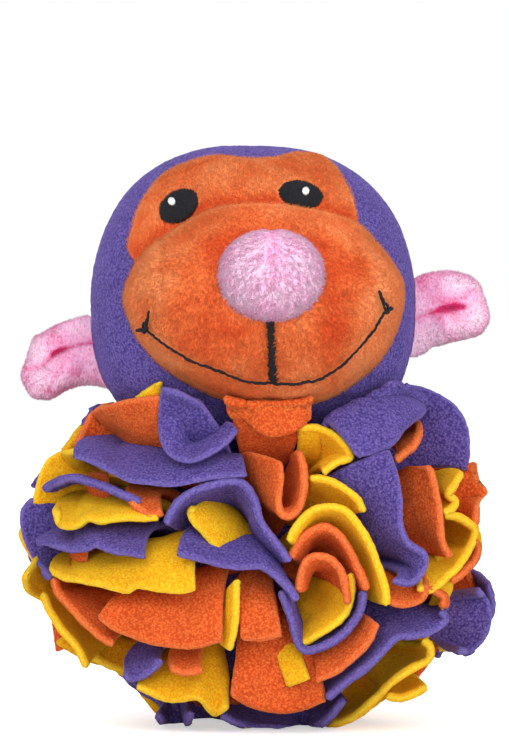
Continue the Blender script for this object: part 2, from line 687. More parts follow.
def traced_end(number, near, far, root=None):
    """The middle surface of a traced end, in rows from its root to its near edge."""
    count = max(FEWEST_COLUMNS, int(round(path_length(near) * FRAME_STEP / EDGE_STEP)))
    near_share, far_share = DEPTHS.get(number, (NEAR, FAR))
    gap = HEAD_GAPS.get(number, HEAD_GAP)
    near_at = seen_at(open_curve(near, count), near_share, gap) - BODY_CENTRE
    far_gap = min(gap - FAR_GAP_LESS, FAR_GAP_MOST)
    far_at = seen_at(open_curve(far, count), far_share, far_gap) - BODY_CENTRE
    far_way = unit(far_at)
    if root is None:
        root_at = far_way * (body_radius(far_way) * ROOT_SHARE)[:, None]
    else:
        root_at = root(np.linspace(-1, 1, count))
    row = np.linspace(0, 1, END_ROWS)[:, None, None]
    from_root = root_at * (row - FAR_ROW) * (row - 1) / FAR_ROW
    from_far = far_at * row * (row - 1) / (FAR_ROW * (FAR_ROW - 1))
    from_near = near_at * row * (row - FAR_ROW) / (1 - FAR_ROW)
    return clear_of_head(BODY_CENTRE + from_root + from_far + from_near, gap - GAP_SLACK)


def solid_sheet(middle, seed):
    """A closed sheet with rounded edges about a middle surface given as a grid of real places."""
    rows, columns = middle.shape[:2]
    along = np.linspace(0, 1, rows)[:, None]
    normal = unit(np.cross(np.gradient(middle, axis=0), np.gradient(middle, axis=1)))
    sway = SWAY * noise(middle, SWAY_SIZE, 100 + seed) * eased((along - 0.3) / 0.4)
    middle = middle + normal * sway[..., None]
    normal = unit(np.cross(np.gradient(middle, axis=0), np.gradient(middle, axis=1)))
    down = np.cumsum(np.linalg.norm(np.diff(middle, axis=0), axis=-1), 0)
    across = np.cumsum(np.linalg.norm(np.diff(middle, axis=1), axis=-1), 1)
    reach_down = np.concatenate((np.zeros((1, columns)), down))
    reach_across = np.concatenate((np.zeros((rows, 1)), across), 1)
    edge = np.minimum(reach_across, reach_across[:, -1:] - reach_across)
    edge = np.minimum(edge, reach_down[-1:] - reach_down)
    half = CLOTH / 2
    inside = np.clip(edge / half, 0, 1)
    thick = half * np.sqrt(np.clip(1 - (1 - inside) ** 2, 0.0, 1))
    thick = thick * (1 + BULK_SHARE * noise(middle, BULK_SIZE, 130 + seed))
    upper = middle + normal * thick[..., None]
    lower = middle - normal * thick[..., None]
    border = np.zeros((rows, columns), bool)
    border[:, (0, -1)] = True
    border[-1] = True
    index = np.arange(rows * columns).reshape(rows, columns)
    under = np.where(border, index, 0)
    inner = ~border
    under[inner] = rows * columns + np.arange(inner.sum())
    points = np.concatenate((np.where(border[..., None], middle, upper).reshape(-1, 3), lower[inner]))
    a, b, c, d = index[:-1, :-1], index[:-1, 1:], index[1:, 1:], index[1:, :-1]
    top = np.stack((a, d, c, b), -1).reshape(-1, 4)
    a, b, c, d = under[:-1, :-1], under[:-1, 1:], under[1:, 1:], under[1:, :-1]
    bottom = np.stack((a, b, c, d), -1).reshape(-1, 4)
    first = np.stack((index[0, :-1], index[0, 1:], under[0, 1:], under[0, :-1]), -1)[1:-1]
    corners = [(index[0, 0], index[0, 1], under[0, 1]), (index[0, -2], index[0, -1], under[0, -2])]
    quads = np.concatenate((top, bottom, first))
    rim = 1 - np.sqrt(inside)
    rims = np.concatenate((rim.reshape(-1), rim[inner]))
    corner = np.cross(middle[1:, 1:] - middle[:-1, :-1], middle[1:, :-1] - middle[:-1, 1:])
    area = np.linalg.norm(corner, axis=-1).sum() / 2
    return points, quads, corners, rims, (reach_across[:, -1].max(), reach_down[-1].max(), area)


def root_line(end):
    """Where a strip that is sewn at its middle leaves the core on its front side."""
    def line(sides):
        root = np.zeros(len(sides))
        direction = direction_at(end.polar(root), end.azimuth + sides[::-1] * end.half_angle(root))
        return direction * (body_radius(direction) * end.start)[:, None]
    return line


BALL_OUTLINE = (
    (86, 425), (60, 450), (36, 478), (22, 506), (22, 535), (38, 562), (46, 590), (52, 612), (64, 633),
    (78, 650), (93, 662), (110, 664), (125, 680), (137, 691), (157, 714), (190, 727), (244, 731), (285, 734),
    (318, 730), (362, 714), (388, 698), (418, 684), (431, 664), (440, 650), (465, 648), (486, 632),
    (490, 612), (480, 588), (474, 560), (478, 535), (486, 500), (478, 470), (472, 440), (458, 408),
)


def drawn_in(points):
    """Back ends drawn in towards the outline that the ball has in the photograph."""
    outline = np.array([seen(x, y, BODY_CENTRE[1]) for x, y in BALL_OUTLINE]) - BODY_CENTRE[[0, 2]]
    angle = np.arctan2(outline[:, 1], outline[:, 0])
    radius = np.linalg.norm(outline, axis=1)
    way = np.stack((np.cos(angle), np.zeros(len(angle)), np.sin(angle)), -1)
    ratio = np.clip(radius / body_radius(way), 0.86, 1)
    order = np.argsort(angle)
    angle, ratio = angle[order], ratio[order]
    away = points - BODY_CENTRE
    turn = np.arctan2(away[..., 2], away[..., 0])
    wrapped = np.concatenate((angle - 2 * math.pi, angle, angle + 2 * math.pi))
    scale = np.interp(turn, wrapped, np.tile(ratio, 3))
    flat = np.hypot(away[..., 0], away[..., 2])
    part = eased((flat / PLAIN_RADIUS - 0.5) / 0.3) * eased((away[..., 1] + 0.012) / 0.012)
    scale = 1 + (scale - 1) * part
    away[..., 0] *= scale
    away[..., 2] *= scale
    return BODY_CENTRE + away


BACK_WAVE = 0.0006


def back_rows(front, back, count):
    """From the front root over the core and out to the back end's tip, as rows of real places."""
    sides, root = np.linspace(1, -1, count), np.zeros(count)
    rows = []
    for share in np.linspace(0, 1, CORE_ROWS)[1:-1]:
        polar = front.polar(root) * (1 - share) + back.polar(root) * share
        direction = direction_at(polar, front.azimuth + sides * front.half_angle(root))
        rows.append(to_body(direction * front.start * PLAIN_RADIUS))
    for way in np.linspace(0, 1, FOLD_ROWS):
        row = back.middle(np.full(count, way), sides)
        wave = BACK_WAVE * np.sin(3 * sides + back.phase)[:, None] * way
        rows.append(to_body(row) + unit(row) * wave)
    return drawn_in(np.array(rows))


# The free ends that close the ball behind and at its sides: the strip, where its end leaves the core as
# degrees from the back pole and round it, the way it folds over, how far out it reaches and its width in
# millimetres.

FOLDED_ENDS = (
    (42, 9, 90, 30, 1.08, 25), (25, 31, 8, 205, 1.05, 24), (29, 33, 68, 140, 1.07, 24),
    (40, 31, 128, 60, 1.05, 24), (43, 33, 188, 300, 1.07, 24), (34, 31, 246, 25, 1.05, 24),
    (26, 33, 306, 230, 1.07, 24),
    (44, 57, 348, 100, 1.03, 25), (31, 57, 28, 250, 1.05, 25), (39, 50, 62, 10, 1.03, 24),
    (36, 47, 96, 190, 1.00, 24), (30, 52, 128, 80, 1.03, 24), (33, 57, 158, 285, 1.05, 25),
    (41, 58, 198, 120, 1.03, 25), (35, 58, 232, 310, 1.00, 25), (32, 58, 268, 150, 0.97, 25),
    (28, 58, 306, 20, 1.00, 25),
    (27, 83, 10, 255, 0.86, 25), (25, 84, 338, 70, 0.86, 25), (34, 86, 308, 200, 0.86, 25),
    (29, 84, 170, 95, 0.86, 25), (38, 84, 202, 290, 0.86, 25), (39, 86, 236, 170, 0.86, 25),
    (44, 84, 262, 20, 0.86, 25), (43, 84, 282, 160, 0.86, 25),
)

# The ranges that a folded end's waves, phase, slant, reach and cup are drawn from, and its waves' height

FOLD_SPANS = ((1.0, 1.6), (0, 2 * math.pi), (-0.14, 0.14), (0.62, 0.80), (-0.02, 0.03))
FOLD_WAVE_SHARE = 0.028


def folded_end(polar, azimuth, turn, tip, width, rng):
    """The middle surface of a short end that stands up from the core and folds over."""
    polar, azimuth, turn = (math.radians(angle) for angle in (polar, azimuth, turn))
    ring = math.sin(polar)
    away = np.array((ring * math.cos(azimuth), math.cos(polar), ring * math.sin(azimuth)))
    first = unit(np.cross(away, (0.0, 1.0, 0.0)))
    along = math.cos(turn) * first + math.sin(turn) * np.cross(away, first)
    across = np.cross(away, along)
    waves, phase, slant, reach, cup = (rng.uniform(*span) for span in FOLD_SPANS)
    side = np.linspace(-1, 1, END_COLUMNS)[None, :]
    way = np.linspace(0, 1, FOLD_ROWS)[:, None] * (1 + slant * side)
    share = CORE_SHARE + (tip - CORE_SHARE) * (1 - np.clip(1 - way, 0, 1) ** 1.8)
    late = eased((way - 0.35) / 0.65)
    share = share + FOLD_WAVE_SHARE * late * np.sin(waves * math.pi * side + phase) + cup * side**2 * late
    lean = reach * np.clip(way, 0, None) ** 1.8
    half = side * width / 2000 / (np.maximum(share, 0.6) * PLAIN_RADIUS) * (0.72 + 0.28 * way)
    direction = unit(
        away * np.cos(lean)[..., None] + along * np.sin(lean)[..., None] + across * np.tan(half)[..., None]
    )
    rows = to_body(direction * (share * PLAIN_RADIUS)[..., None])
    return clear_of_head(drawn_in(rows), FOLDED_HEAD_GAP)


def formula_rows(end):
    """A free end as the part's formula has it, for what the photograph doesn't show."""
    sides = np.linspace(1, -1, END_COLUMNS)
    rows = [to_body(end.middle(np.full(END_COLUMNS, way), sides)) for way in np.linspace(0, 1, END_ROWS)]
    return drawn_in(np.array(rows))


def over_rows(front, back, number, traced):
    """A strip sewn on at its middle, from its back end's tip over the core to its front edge."""
    head = traced_end(number, *traced[0], root_line(front)) if traced else formula_rows(front)
    tail = back_rows(front, back, head.shape[1])
    if np.linalg.norm(tail[0, 0] - head[0, 0]) > np.linalg.norm(tail[0, -1] - head[0, 0]):
        tail = tail[:, ::-1]
    return np.concatenate((tail[::-1], head))


def build_strips():
    number = 0
    for table, behind in ((FRONT_STRIPS, False), (OVER_STRIPS, None), (BACK_STRIPS, True)):
        for layer, azimuths, colour, *shares in table:
            number += 1
            rng = np.random.default_rng(SEED * 1000 + number)
            traced = TRACED.get(number, ())
            grids = []
            if behind is None:
                front = End(layer, azimuths[0], shares, False, rng)
                back = End(layer, azimuths[0], shares, True, rng)
                grids.append(over_rows(front, back, number, traced))
                traced = traced[1:]
            elif not traced:
                grids += [formula_rows(End(layer, azimuth, shares, behind, rng)) for azimuth in azimuths]
            grids += [traced_end(number, near, far) for near, far in traced]
            grids += [folded_end(*row[1:], rng) for row in FOLDED_ENDS if row[0] == number]
            strip_object(f"strip_{number:02d}_{colour}", colour, grids, number)


# The range that the tools accept for a sheet: its least width, and its least area as a share of its
# width times length. The area is also held to the built surface over LARGEST_STRETCH, so comparing a
# strip's cloth with this flat size compares the shape with itself.

LEAST_WIDTH, LEAST_AREA_SHARE, LARGEST_STRETCH = 0.010, 0.31, 1.2


def declare_sheet(made, cuts):
    """The strip's flat size: that of its parts' middle surfaces, laid end to end."""
    width = max(LEAST_WIDTH, *(cut[0] for cut in cuts))
    length = sum(cut[1] for cut in cuts)
    surface = np.zeros(len(made.data.polygons), np.float32)
    made.data.polygons.foreach_get("area", surface)
    area = max(
        sum(cut[2] for cut in cuts), surface.sum() / 2 / LARGEST_STRETCH, LEAST_AREA_SHARE * width * length
    )
    width = max(width, area / length)


def strip_object(node, colour, grids, number):
    points, polygons, rims, cuts, owner = [], [], [], [], []
    for k, grid in enumerate(grids):
        more, quads, corners, rim, cut = solid_sheet(grid, number * 3 + k)
        offset = len(owner)
        points.append(more)
        polygons += [tuple(q) for q in quads + offset] + [tuple(i + offset for i in c) for c in corners]
        rims.append(rim)
        cuts.append(cut)
        owner += [k] * len(more)
    points, rims = np.concatenate(points), np.concatenate(rims)
    made = mesh_object(f"{node}_cloth", points, polygons, MATERIALS[f"{colour}_fleece"])
    turned_outward(made, owner)
    normals = np.zeros(len(points) * 3, np.float32)
    made.data.vertices.foreach_get("normal", normals)
    points = points + normals.reshape(-1, 3) * nubs(points, 11)[:, None]
    points[:, 2] = np.maximum(points[:, 2], FLOOR_ROOM + FLOOR_ROOM * (noise(points, 0.003, 5) + 1))
    made.data.vertices.foreach_set("co", points.reshape(-1))
    made.data.update()
    attribute(made, "rim", RIM_SHARE * rims)
    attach(made, "ball")
    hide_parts(node)
    declare_sheet(made, cuts)


# Materials

def shader_tree(name):
    made = bpy.data.materials.new(name)
    made.use_nodes = True
    tree = made.node_tree
    return made, tree, tree.nodes["Principled BSDF"]


def node_of(tree, kind, **values):
    made = tree.nodes.new(kind)
    for key, value in values.items():
        if key in made.inputs:
            made.inputs[key].default_value = value
        else:
            setattr(made, key, value)
    return made


def set_inputs(made, values):
    for key, value in values.items():
        made.inputs[key].default_value = value


def ramp(tree, source, stops):
    made = tree.nodes.new("ShaderNodeValToRGB")
    tree.links.new(source, made.inputs["Fac"])
    elements = made.color_ramp.elements
    while len(elements) < len(stops):
        elements.new(0.5)
    for element, (place, colour) in zip(elements, stops):
        element.position = place
        element.color = (*colour, 1)
    return made.outputs["Color"]


def fleece(name, light, base, deep):
    """Polar fleece: curly nubs in the nap, darker in the pits, and a soft bloom at grazing angles."""
    made, tree, shader = shader_tree(name)
    link = tree.links.new
    place = tree.nodes.new("ShaderNodeTexCoord").outputs["Object"]
    curls = node_of(tree, "ShaderNodeTexVoronoi", Scale=1250.0, feature="SMOOTH_F1", Randomness=1.0)
    curls.inputs["Smoothness"].default_value = 0.45
    fine = node_of(tree, "ShaderNodeTexNoise", Scale=1600.0, Detail=3.0, Roughness=0.65)
    wide = node_of(tree, "ShaderNodeTexNoise", Scale=95.0, Detail=2.0, Roughness=0.5)
    warp = node_of(tree, "ShaderNodeTexNoise", Scale=420.0, Detail=2.0)
    for texture in (fine, wide, warp):
        link(place, texture.inputs["Vector"])
    mixed = node_of(tree, "ShaderNodeVectorMath", operation="MULTIPLY_ADD")
    link(warp.outputs["Color"], mixed.inputs[0])
    mixed.inputs[1].default_value = (0.0012, 0.0012, 0.0012)
    link(place, mixed.inputs[2])
    link(mixed.outputs[0], curls.inputs["Vector"])
    height = node_of(tree, "ShaderNodeMath", operation="MULTIPLY_ADD")
    link(curls.outputs["Distance"], height.inputs[0])
    height.inputs[1].default_value = -0.55
    link(fine.outputs["Fac"], height.inputs[2])
    colour = ramp(tree, height.outputs[0], ((0.08, deep), (0.31, base), (0.52, light)))
    tone = node_of(tree, "ShaderNodeMapRange")
    link(wide.outputs["Fac"], tone.inputs["Value"])
    set_inputs(tone, {"From Min": 0.3, "From Max": 0.7, "To Min": 0.90, "To Max": 1.08})
    bright = node_of(tree, "ShaderNodeHueSaturation")
    link(colour, bright.inputs["Color"])
    link(tone.outputs["Result"], bright.inputs["Value"])
    rim = node_of(tree, "ShaderNodeAttribute", attribute_name="rim")
    edge = node_of(tree, "ShaderNodeMix", data_type="RGBA", blend_type="MIX")
    link(rim.outputs["Fac"], edge.inputs["Factor"])
    link(bright.outputs["Color"], edge.inputs[6])
    edge.inputs[7].default_value = (*(min(1.0, 1.25 * part + 0.03) for part in light), 1)
    link(edge.outputs[2], shader.inputs["Base Color"])
    bump = node_of(tree, "ShaderNodeBump", Strength=0.75, Distance=0.0006)
    link(height.outputs[0], bump.inputs["Height"])
    link(bump.outputs["Normal"], shader.inputs["Normal"])
    set_inputs(shader, {
        "Subsurface Weight": 0.35, "Subsurface Scale": 0.0022,
        "Subsurface Radius": tuple(0.15 + 0.85 * part / max(light) for part in light),
        "Roughness": 0.95, "Specular IOR Level": 0.15,
        "Sheen Weight": 0.35, "Sheen Roughness": 0.45, "Sheen Tint": (*light, 1),
    })
    return made


def plush(name, light, base, deep, scale=60.0, grain=1500.0):
    """Brushed plush: patches of nap that lie one way or the other, over a fine pile."""
    made, tree, shader = shader_tree(name)
    link = tree.links.new
    place = tree.nodes.new("ShaderNodeTexCoord").outputs["Object"]
    patches = node_of(tree, "ShaderNodeTexNoise", Scale=scale, Detail=3.0, Roughness=0.55, Distortion=0.6)
    pile = node_of(tree, "ShaderNodeTexNoise", Scale=grain, Detail=2.0, Roughness=0.6)
    stretch = node_of(tree, "ShaderNodeMapping")
    stretch.inputs["Scale"].default_value = (1.0, 1.0, 0.45)
    link(place, stretch.inputs["Vector"])
    link(place, patches.inputs["Vector"])
    link(stretch.outputs[0], pile.inputs["Vector"])
    total = node_of(tree, "ShaderNodeMath", operation="MULTIPLY_ADD")
    link(pile.outputs["Fac"], total.inputs[0])
    total.inputs[1].default_value = 0.45
    link(patches.outputs["Fac"], total.inputs[2])
    tone = node_of(tree, "ShaderNodeAttribute", attribute_name="tone")
    shift = node_of(tree, "ShaderNodeMath", operation="MULTIPLY_ADD")
    link(tone.outputs["Fac"], shift.inputs[0])
    shift.inputs[1].default_value = 0.25
    link(total.outputs[0], shift.inputs[2])
    colour = ramp(tree, shift.outputs[0], ((0.35, deep), (0.70, base), (1.0, light)))
    link(colour, shader.inputs["Base Color"])
    bump = node_of(tree, "ShaderNodeBump", Strength=0.45, Distance=0.0004)
    link(pile.outputs["Fac"], bump.inputs["Height"])
    link(bump.outputs["Normal"], shader.inputs["Normal"])
    set_inputs(shader, {
        "Roughness": 0.85, "Specular IOR Level": 0.2,
        "Sheen Weight": 0.45, "Sheen Roughness": 0.35, "Sheen Tint": (*light, 1),
    })
    return made


def thread(name, dark, light):
    """Satin embroidery thread, with the twist of its strands."""
    made, tree, shader = shader_tree(name)
    link = tree.links.new
    place = tree.nodes.new("ShaderNodeTexCoord").outputs["Object"]
    strands = node_of(tree, "ShaderNodeTexNoise", Scale=2600.0, Detail=2.0)
    link(place, strands.inputs["Vector"])
    link(ramp(tree, strands.outputs["Fac"], ((0.35, dark), (0.7, light))), shader.inputs["Base Color"])
    bump = node_of(tree, "ShaderNodeBump", Strength=0.4, Distance=0.0002)
    link(strands.outputs["Fac"], bump.inputs["Height"])
    link(bump.outputs["Normal"], shader.inputs["Normal"])
    set_inputs(shader, {"Roughness": 0.6, "Specular IOR Level": 0.12})
    return made


MATERIALS = {name: make(name, *values) for name, make, *values in (
    ("purple_fleece", fleece, (0.200, 0.145, 0.440), (0.130, 0.092, 0.340), (0.062, 0.038, 0.205)),
    ("orange_fleece", fleece, (0.900, 0.220, 0.055), (0.780, 0.140, 0.028), (0.600, 0.070, 0.012)),
    ("yellow_fleece", fleece, (1.000, 0.640, 0.035), (0.970, 0.530, 0.014), (0.880, 0.370, 0.006)),
    ("orange_plush", plush, (0.930, 0.310, 0.110), (0.840, 0.185, 0.048), (0.700, 0.080, 0.016)),
    ("pink_plush", plush, (0.970, 0.700, 0.840), (0.950, 0.460, 0.700), (0.800, 0.030, 0.220), 80.0),
    ("nose_plush", plush, (1.000, 0.680, 0.870), (0.960, 0.500, 0.750), (0.860, 0.310, 0.560), 110.0),
    ("black_thread", thread, (0.008, 0.008, 0.010), (0.022, 0.021, 0.026)),
    ("white_thread", thread, (0.75, 0.75, 0.76), (0.92, 0.92, 0.92)),
    ("white_filling", fleece, (0.90, 0.90, 0.88), (0.84, 0.84, 0.82), (0.70, 0.70, 0.68)),
    ("squeaker_plastic", thread, (0.70, 0.70, 0.66), (0.78, 0.78, 0.74)),
)}


# Head

FACE_DEPTH = -0.046


def face_at(across, down, depth=FACE_DEPTH):
    """A place on the face given as the photograph shows it."""
    x, z = seen(across, down, depth)
    return np.array((x, 0.0, z))


MASK_OUTLINE = (
    (-0.80, 0.32), (-0.80, 0.50), (-0.73, 0.68), (-0.60, 0.83), (-0.42, 0.91), (-0.27, 0.935),
    (-0.10, 0.92), (0.08, 0.925), (0.22, 0.955), (0.38, 0.93), (0.50, 0.81), (0.57, 0.66),
    (0.58, 0.45), (0.50, 0.20), (0.20, 0.05), (-0.20, 0.05), (-0.55, 0.12),
)
MUZZLE_OUTLINE = (
    (121, 290), (125, 320), (140, 352), (169, 380), (208, 400), (258, 410), (300, 409), (341, 396),
    (377, 367), (396, 337), (405, 305), (405, 282), (396, 264), (380, 243), (355, 219), (309, 204),
    (256, 198), (199, 208), (143, 246),
)
SMILE = (
    (149, 330), (162, 339), (178, 350), (195, 359), (215, 367), (232, 374), (247, 379), (262, 380),
    (276, 381), (295, 382), (311, 379), (325, 374), (342, 362), (357, 346), (370, 330), (381, 313),
)
TICKS = (
    ((151, 310), (150, 320), (148, 331)), ((149, 329), (145, 330), (139, 330)),
    ((377, 290), (380, 301), (384, 312)), ((380, 314), (384, 311), (390, 308)),
    ((147, 321), (146, 326), (147, 332)), ((141, 328), (145, 328), (150, 327)),
    ((383, 302), (385, 307), (385, 312)), ((382, 311), (385, 309), (388, 307)),
)
PHILTRUM = ((271, 321), (271, 340), (272, 360), (274, 380))
EYES = {"left": ((179, 207), 0.0125, 0.0098, 30), "right": ((300.5, 196), 0.0132, 0.0090, -14)}
EYE_GLINTS = {"left": (173, 204), "right": (305, 194)}

# Places that the plush is brushed about or parted at, and lines where it is darker or lighter

NOSE_SHADE, PALE_CHEEK, PANEL_SEAM, PANEL_TOP = (271, 292), 325, 161, 300
MUZZLE_NAP, MUZZLE_SEAM = (271, 285), 286
NOSE_NAP, NOSE_PARTING, PARTING_TOP = (272, 250), 272, 320
CHIN_ACROSS, CHIN_TOP, CHIN_FOOT = 268, 392, 470

PILLOW = 0.0011
MASK_BACK = 0.0012
MASK_RIM = 0.0011
CROWN = 0.0026
CHIN_HOLLOW = 0.0040
CHEEK_RISE, LIP_DEPTH = 0.0011, 0.0009
NOSE_SQUARENESS, NOSE_PILE, PARTING_DEPTH = 2.1, 0.0009, 0.0005
MOUTH_ROOM, PHILTRUM_ROOM, EYE_ROOM = 0.00045, 0.0012, 0.0004
LINE_STEPS = 400
EYE_LAYERS, EYE_STITCHES, SHORTEST_STITCH = 2, 38, 0.0006
EYE_SKEW, EYE_DOME, GLINT_HALVES = 0.0004, 0.0007, (0.0010, 0.0013)
THREAD, GLINT_THREAD, PHILTRUM_THREAD = 0.00021, 0.00020, 0.00022
SMILE_THREAD, TICK_THREAD, STITCH_LENGTH, STITCH_OVERLAP = 0.00044, 0.00050, 0.0022, 1.22
PHILTRUM_HALF = 0.00122
PANEL_TUCK, PANEL_TUCK_HALF = 0.0003, 0.0009

# The blades of each pile: how many, how long, how wide, and how far they lean over, in radians

MASK_PILE = (30000, 0.0013, 0.00022, 0.95)
MUZZLE_PILE = (49000, 0.0014, 0.00024, 0.95)
NOSE_BLADES = (9500, 0.0019, 0.00027, 1.16)
EAR_PILE = (12000, 0.0012, 0.00024, 1.15)
NOSE_LOCKS, LOCK_LENGTH, LOCK_SWAY, LOCK_TONE = 700, 0.0034, 0.0004, 0.30


def sphere_grid(around, up):
    """Directions on a sphere in rings about the line of sight, as quads with two poles."""
    polar = np.linspace(0, math.pi, up + 1)[1:-1]
    turn = np.linspace(0, 2 * math.pi, around, endpoint=False)
    p, t = np.meshgrid(polar, turn, indexing="ij")
    ring = np.stack((np.sin(p) * np.cos(t), -np.cos(p), np.sin(p) * np.sin(t)), -1).reshape(-1, 3)
    directions = np.concatenate((ring, [[0, -1, 0], [0, 1, 0]]))
    index = np.arange((up - 1) * around).reshape(up - 1, around)
    after = np.roll(index, -1, axis=1)
    faces = np.stack((index[:-1], index[1:], after[1:], after[:-1]), -1).reshape(-1, 4)
    front, back = np.full(around, len(ring)), np.full(around, len(ring) + 1)
    caps = np.concatenate((
        np.stack((front, index[0], after[0], after[0]), -1),
        np.stack((back, after[-1], index[-1], index[-1]), -1),
    ))
    return directions, faces, caps


def form(directions, faces, caps, points, name, material):
    polygons = [tuple(f) for f in faces] + [tuple(f[:3]) for f in caps]
    return mesh_object(name, points, polygons, material)


def crowned(points):
    """The head's own points, drawn up a little at the crown."""
    up = np.clip((points[..., 2:] - HEAD_MIDDLE[2]) / HEAD_HALVES[2], 0, 1.1)
    return points + np.concatenate((np.zeros_like(points[..., :2]), CROWN * up**3), -1)


def uncrowned(points):
    plain = points
    for _ in range(3):
        plain = plain + points - crowned(plain)
    return plain


def muzzle_edge():
    """The muzzle's outline: turns about the line of sight, and its size there against its plain form."""
    line = np.array([face_at(x, y) for x, y in MUZZLE_OUTLINE]) - MUZZLE_MIDDLE
    line[:, 1] = 0
    line = closed_curve(line, 360)
    angle = np.arctan2(line[:, 2], line[:, 0])
    radius = np.linalg.norm(line, axis=1)
    plain = superellipsoid(line / radius[:, None], MUZZLE_HALVES, MUZZLE_SQUARENESS)
    order = np.argsort(angle)
    angle, ratio = angle[order], (radius / plain)[order]
    return np.concatenate((angle - 2 * math.pi, angle, angle + 2 * math.pi)), np.tile(ratio, 3)


MUZZLE_EDGE = muzzle_edge()


def muzzle_radius(directions):
    """The muzzle's own form: plump, a little drawn in at the parting below the nose."""
    plain = superellipsoid(directions, MUZZLE_HALVES, MUZZLE_SQUARENESS)
    side = np.hypot(directions[..., 0], directions[..., 2])
    ratio = np.interp(np.arctan2(directions[..., 2], directions[..., 0]), *MUZZLE_EDGE)
    shaped = plain * (1 + (np.clip(ratio, 0.95, 1.10) - 1) * eased((side - 0.55) / 0.4))
    points = directions * plain[..., None]
    cheeks = CHEEK_RISE * np.exp(-((np.abs(points[..., 0]) - 0.021) / 0.013) ** 2)
    cheeks = cheeks * np.exp(-((points[..., 2] + 0.004) / 0.018) ** 2)
    lip = -LIP_DEPTH * np.exp(-((points[..., 0] - 0.0028) / 0.0035) ** 2) * eased((-points[..., 2]) / 0.012)
    front = eased(-directions[..., 1] / 0.5)
    return shaped + (cheeks + lip) * front


def on_muzzle(places, lift):
    """Points on the front of the muzzle at given X and Z, and the normals there."""
    away = places - MUZZLE_MIDDLE

    def ray(offset):
        place = offset.copy()
        outer = np.full(len(away), -0.05)
        inner = np.full(len(away), -0.001)
        for _ in range(26):
            middle = (outer + inner) / 2
            place[:, 1] = middle
            length = np.linalg.norm(place, axis=1)
            within = length < muzzle_radius(place / length[:, None])
            inner = np.where(within, middle, inner)
            outer = np.where(within, outer, middle)
        place[:, 1] = inner
        return place

    base = ray(away)
    step = 0.0004
    right = ray(away + np.array((step, 0, 0))) - base
    above = ray(away + np.array((0, 0, step))) - base
    normal = unit(np.cross(right, above))
    normal *= -np.sign(normal[:, 1:2])
    return MUZZLE_MIDDLE + base + normal * lift, normal


def on_head(places, lift):
    """Points on the front of the head at given X and Z, and the normals there."""
    points = uncrowned(places)
    share = np.abs((points - HEAD_MIDDLE) / HEAD_HALVES)
    rest = np.clip(1 - share[:, 0] ** HEAD_SQUARENESS - share[:, 2] ** HEAD_SQUARENESS, 1e-4, 1)
    points[:, 1] = HEAD_MIDDLE[1] - rest ** (1 / HEAD_SQUARENESS) * HEAD_HALVES[1]
    away = (points - HEAD_MIDDLE) / HEAD_HALVES
    normal = unit(np.sign(away) * np.abs(away) ** (HEAD_SQUARENESS - 1) / HEAD_HALVES)
    return crowned(points) + normal * lift, normal


def scatter(points, quads, count, rng, keep=None):
    """Places spread over a surface of quads by area, with their normals."""
    a, b, c, d = (points[quads[:, k]] for k in range(4))
    area = np.linalg.norm(np.cross(c - a, d - b), axis=1)
    if keep is not None:
        area = area * keep((a + b + c + d) / 4)
    picked = rng.choice(len(quads), count, p=area / area.sum())
    u, v = rng.random((2, count, 1))
    normals = vertex_normals(points, quads)
    na, nb, nc, nd = (normals[quads[picked, k]] for k in range(4))
    a, b, c, d = a[picked], b[picked], c[picked], d[picked]
    spot = (a * (1 - u) + b * u) * (1 - v) + (d * (1 - u) + c * u) * v
    normal = (na * (1 - u) + nb * u) * (1 - v) + (nd * (1 - u) + nc * u) * v
    return spot, unit(normal)


def pile(name, body, slot, spots, normals, nap, length, width, lean, tone, rng):
    """Pile as thin closed blades that stand on a surface and lie over the way it is brushed."""
    count = len(spots)
    nap = nap + rng.normal(0, 0.35, (count, 3))
    along = unit(nap - normals * (nap * normals).sum(1, keepdims=True))
    side = np.cross(normals, along)
    tilt = lean + rng.normal(0, 0.12, (count, 1))
    size = length * rng.uniform(0.7, 1.15, (count, 1))
    tip = spots + (normals * np.cos(tilt) + along * np.sin(tilt)) * size
    foot = spots - normals * 0.0003
    corners = np.stack((
        foot - side * width / 2, foot + side * width / 2, foot + along * width * 0.6, tip
    ), 1).reshape(-1, 3)
    start = 4 * np.arange(count)[:, None]
    faces = (start[..., None] + np.array(((0, 3, 1), (1, 3, 2), (2, 3, 0), (0, 1, 2)))).reshape(-1, 3)
    mesh = bpy.data.meshes.new(name)
    mesh.vertices.add(len(corners))
    mesh.vertices.foreach_set("co", corners.reshape(-1))
    mesh.loops.add(faces.size)
    mesh.loops.foreach_set("vertex_index", faces.reshape(-1).astype(np.int32))
    mesh.polygons.add(len(faces))
    mesh.polygons.foreach_set("loop_start", np.arange(0, faces.size, 3, dtype=np.int32))
    mesh.update(calc_edges=True)
    mesh.materials.append(MATERIALS[slot])
    made = bpy.data.objects.new(name, mesh)
    bpy.context.scene.collection.objects.link(made)
    shade = np.repeat(tone + rng.normal(0, 0.12, count), 4).reshape(-1, 4)
    shade[:, :3] -= 0.25
    attribute(made, "tone", shade.reshape(-1))
    if body:
        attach(made, body)
    return made


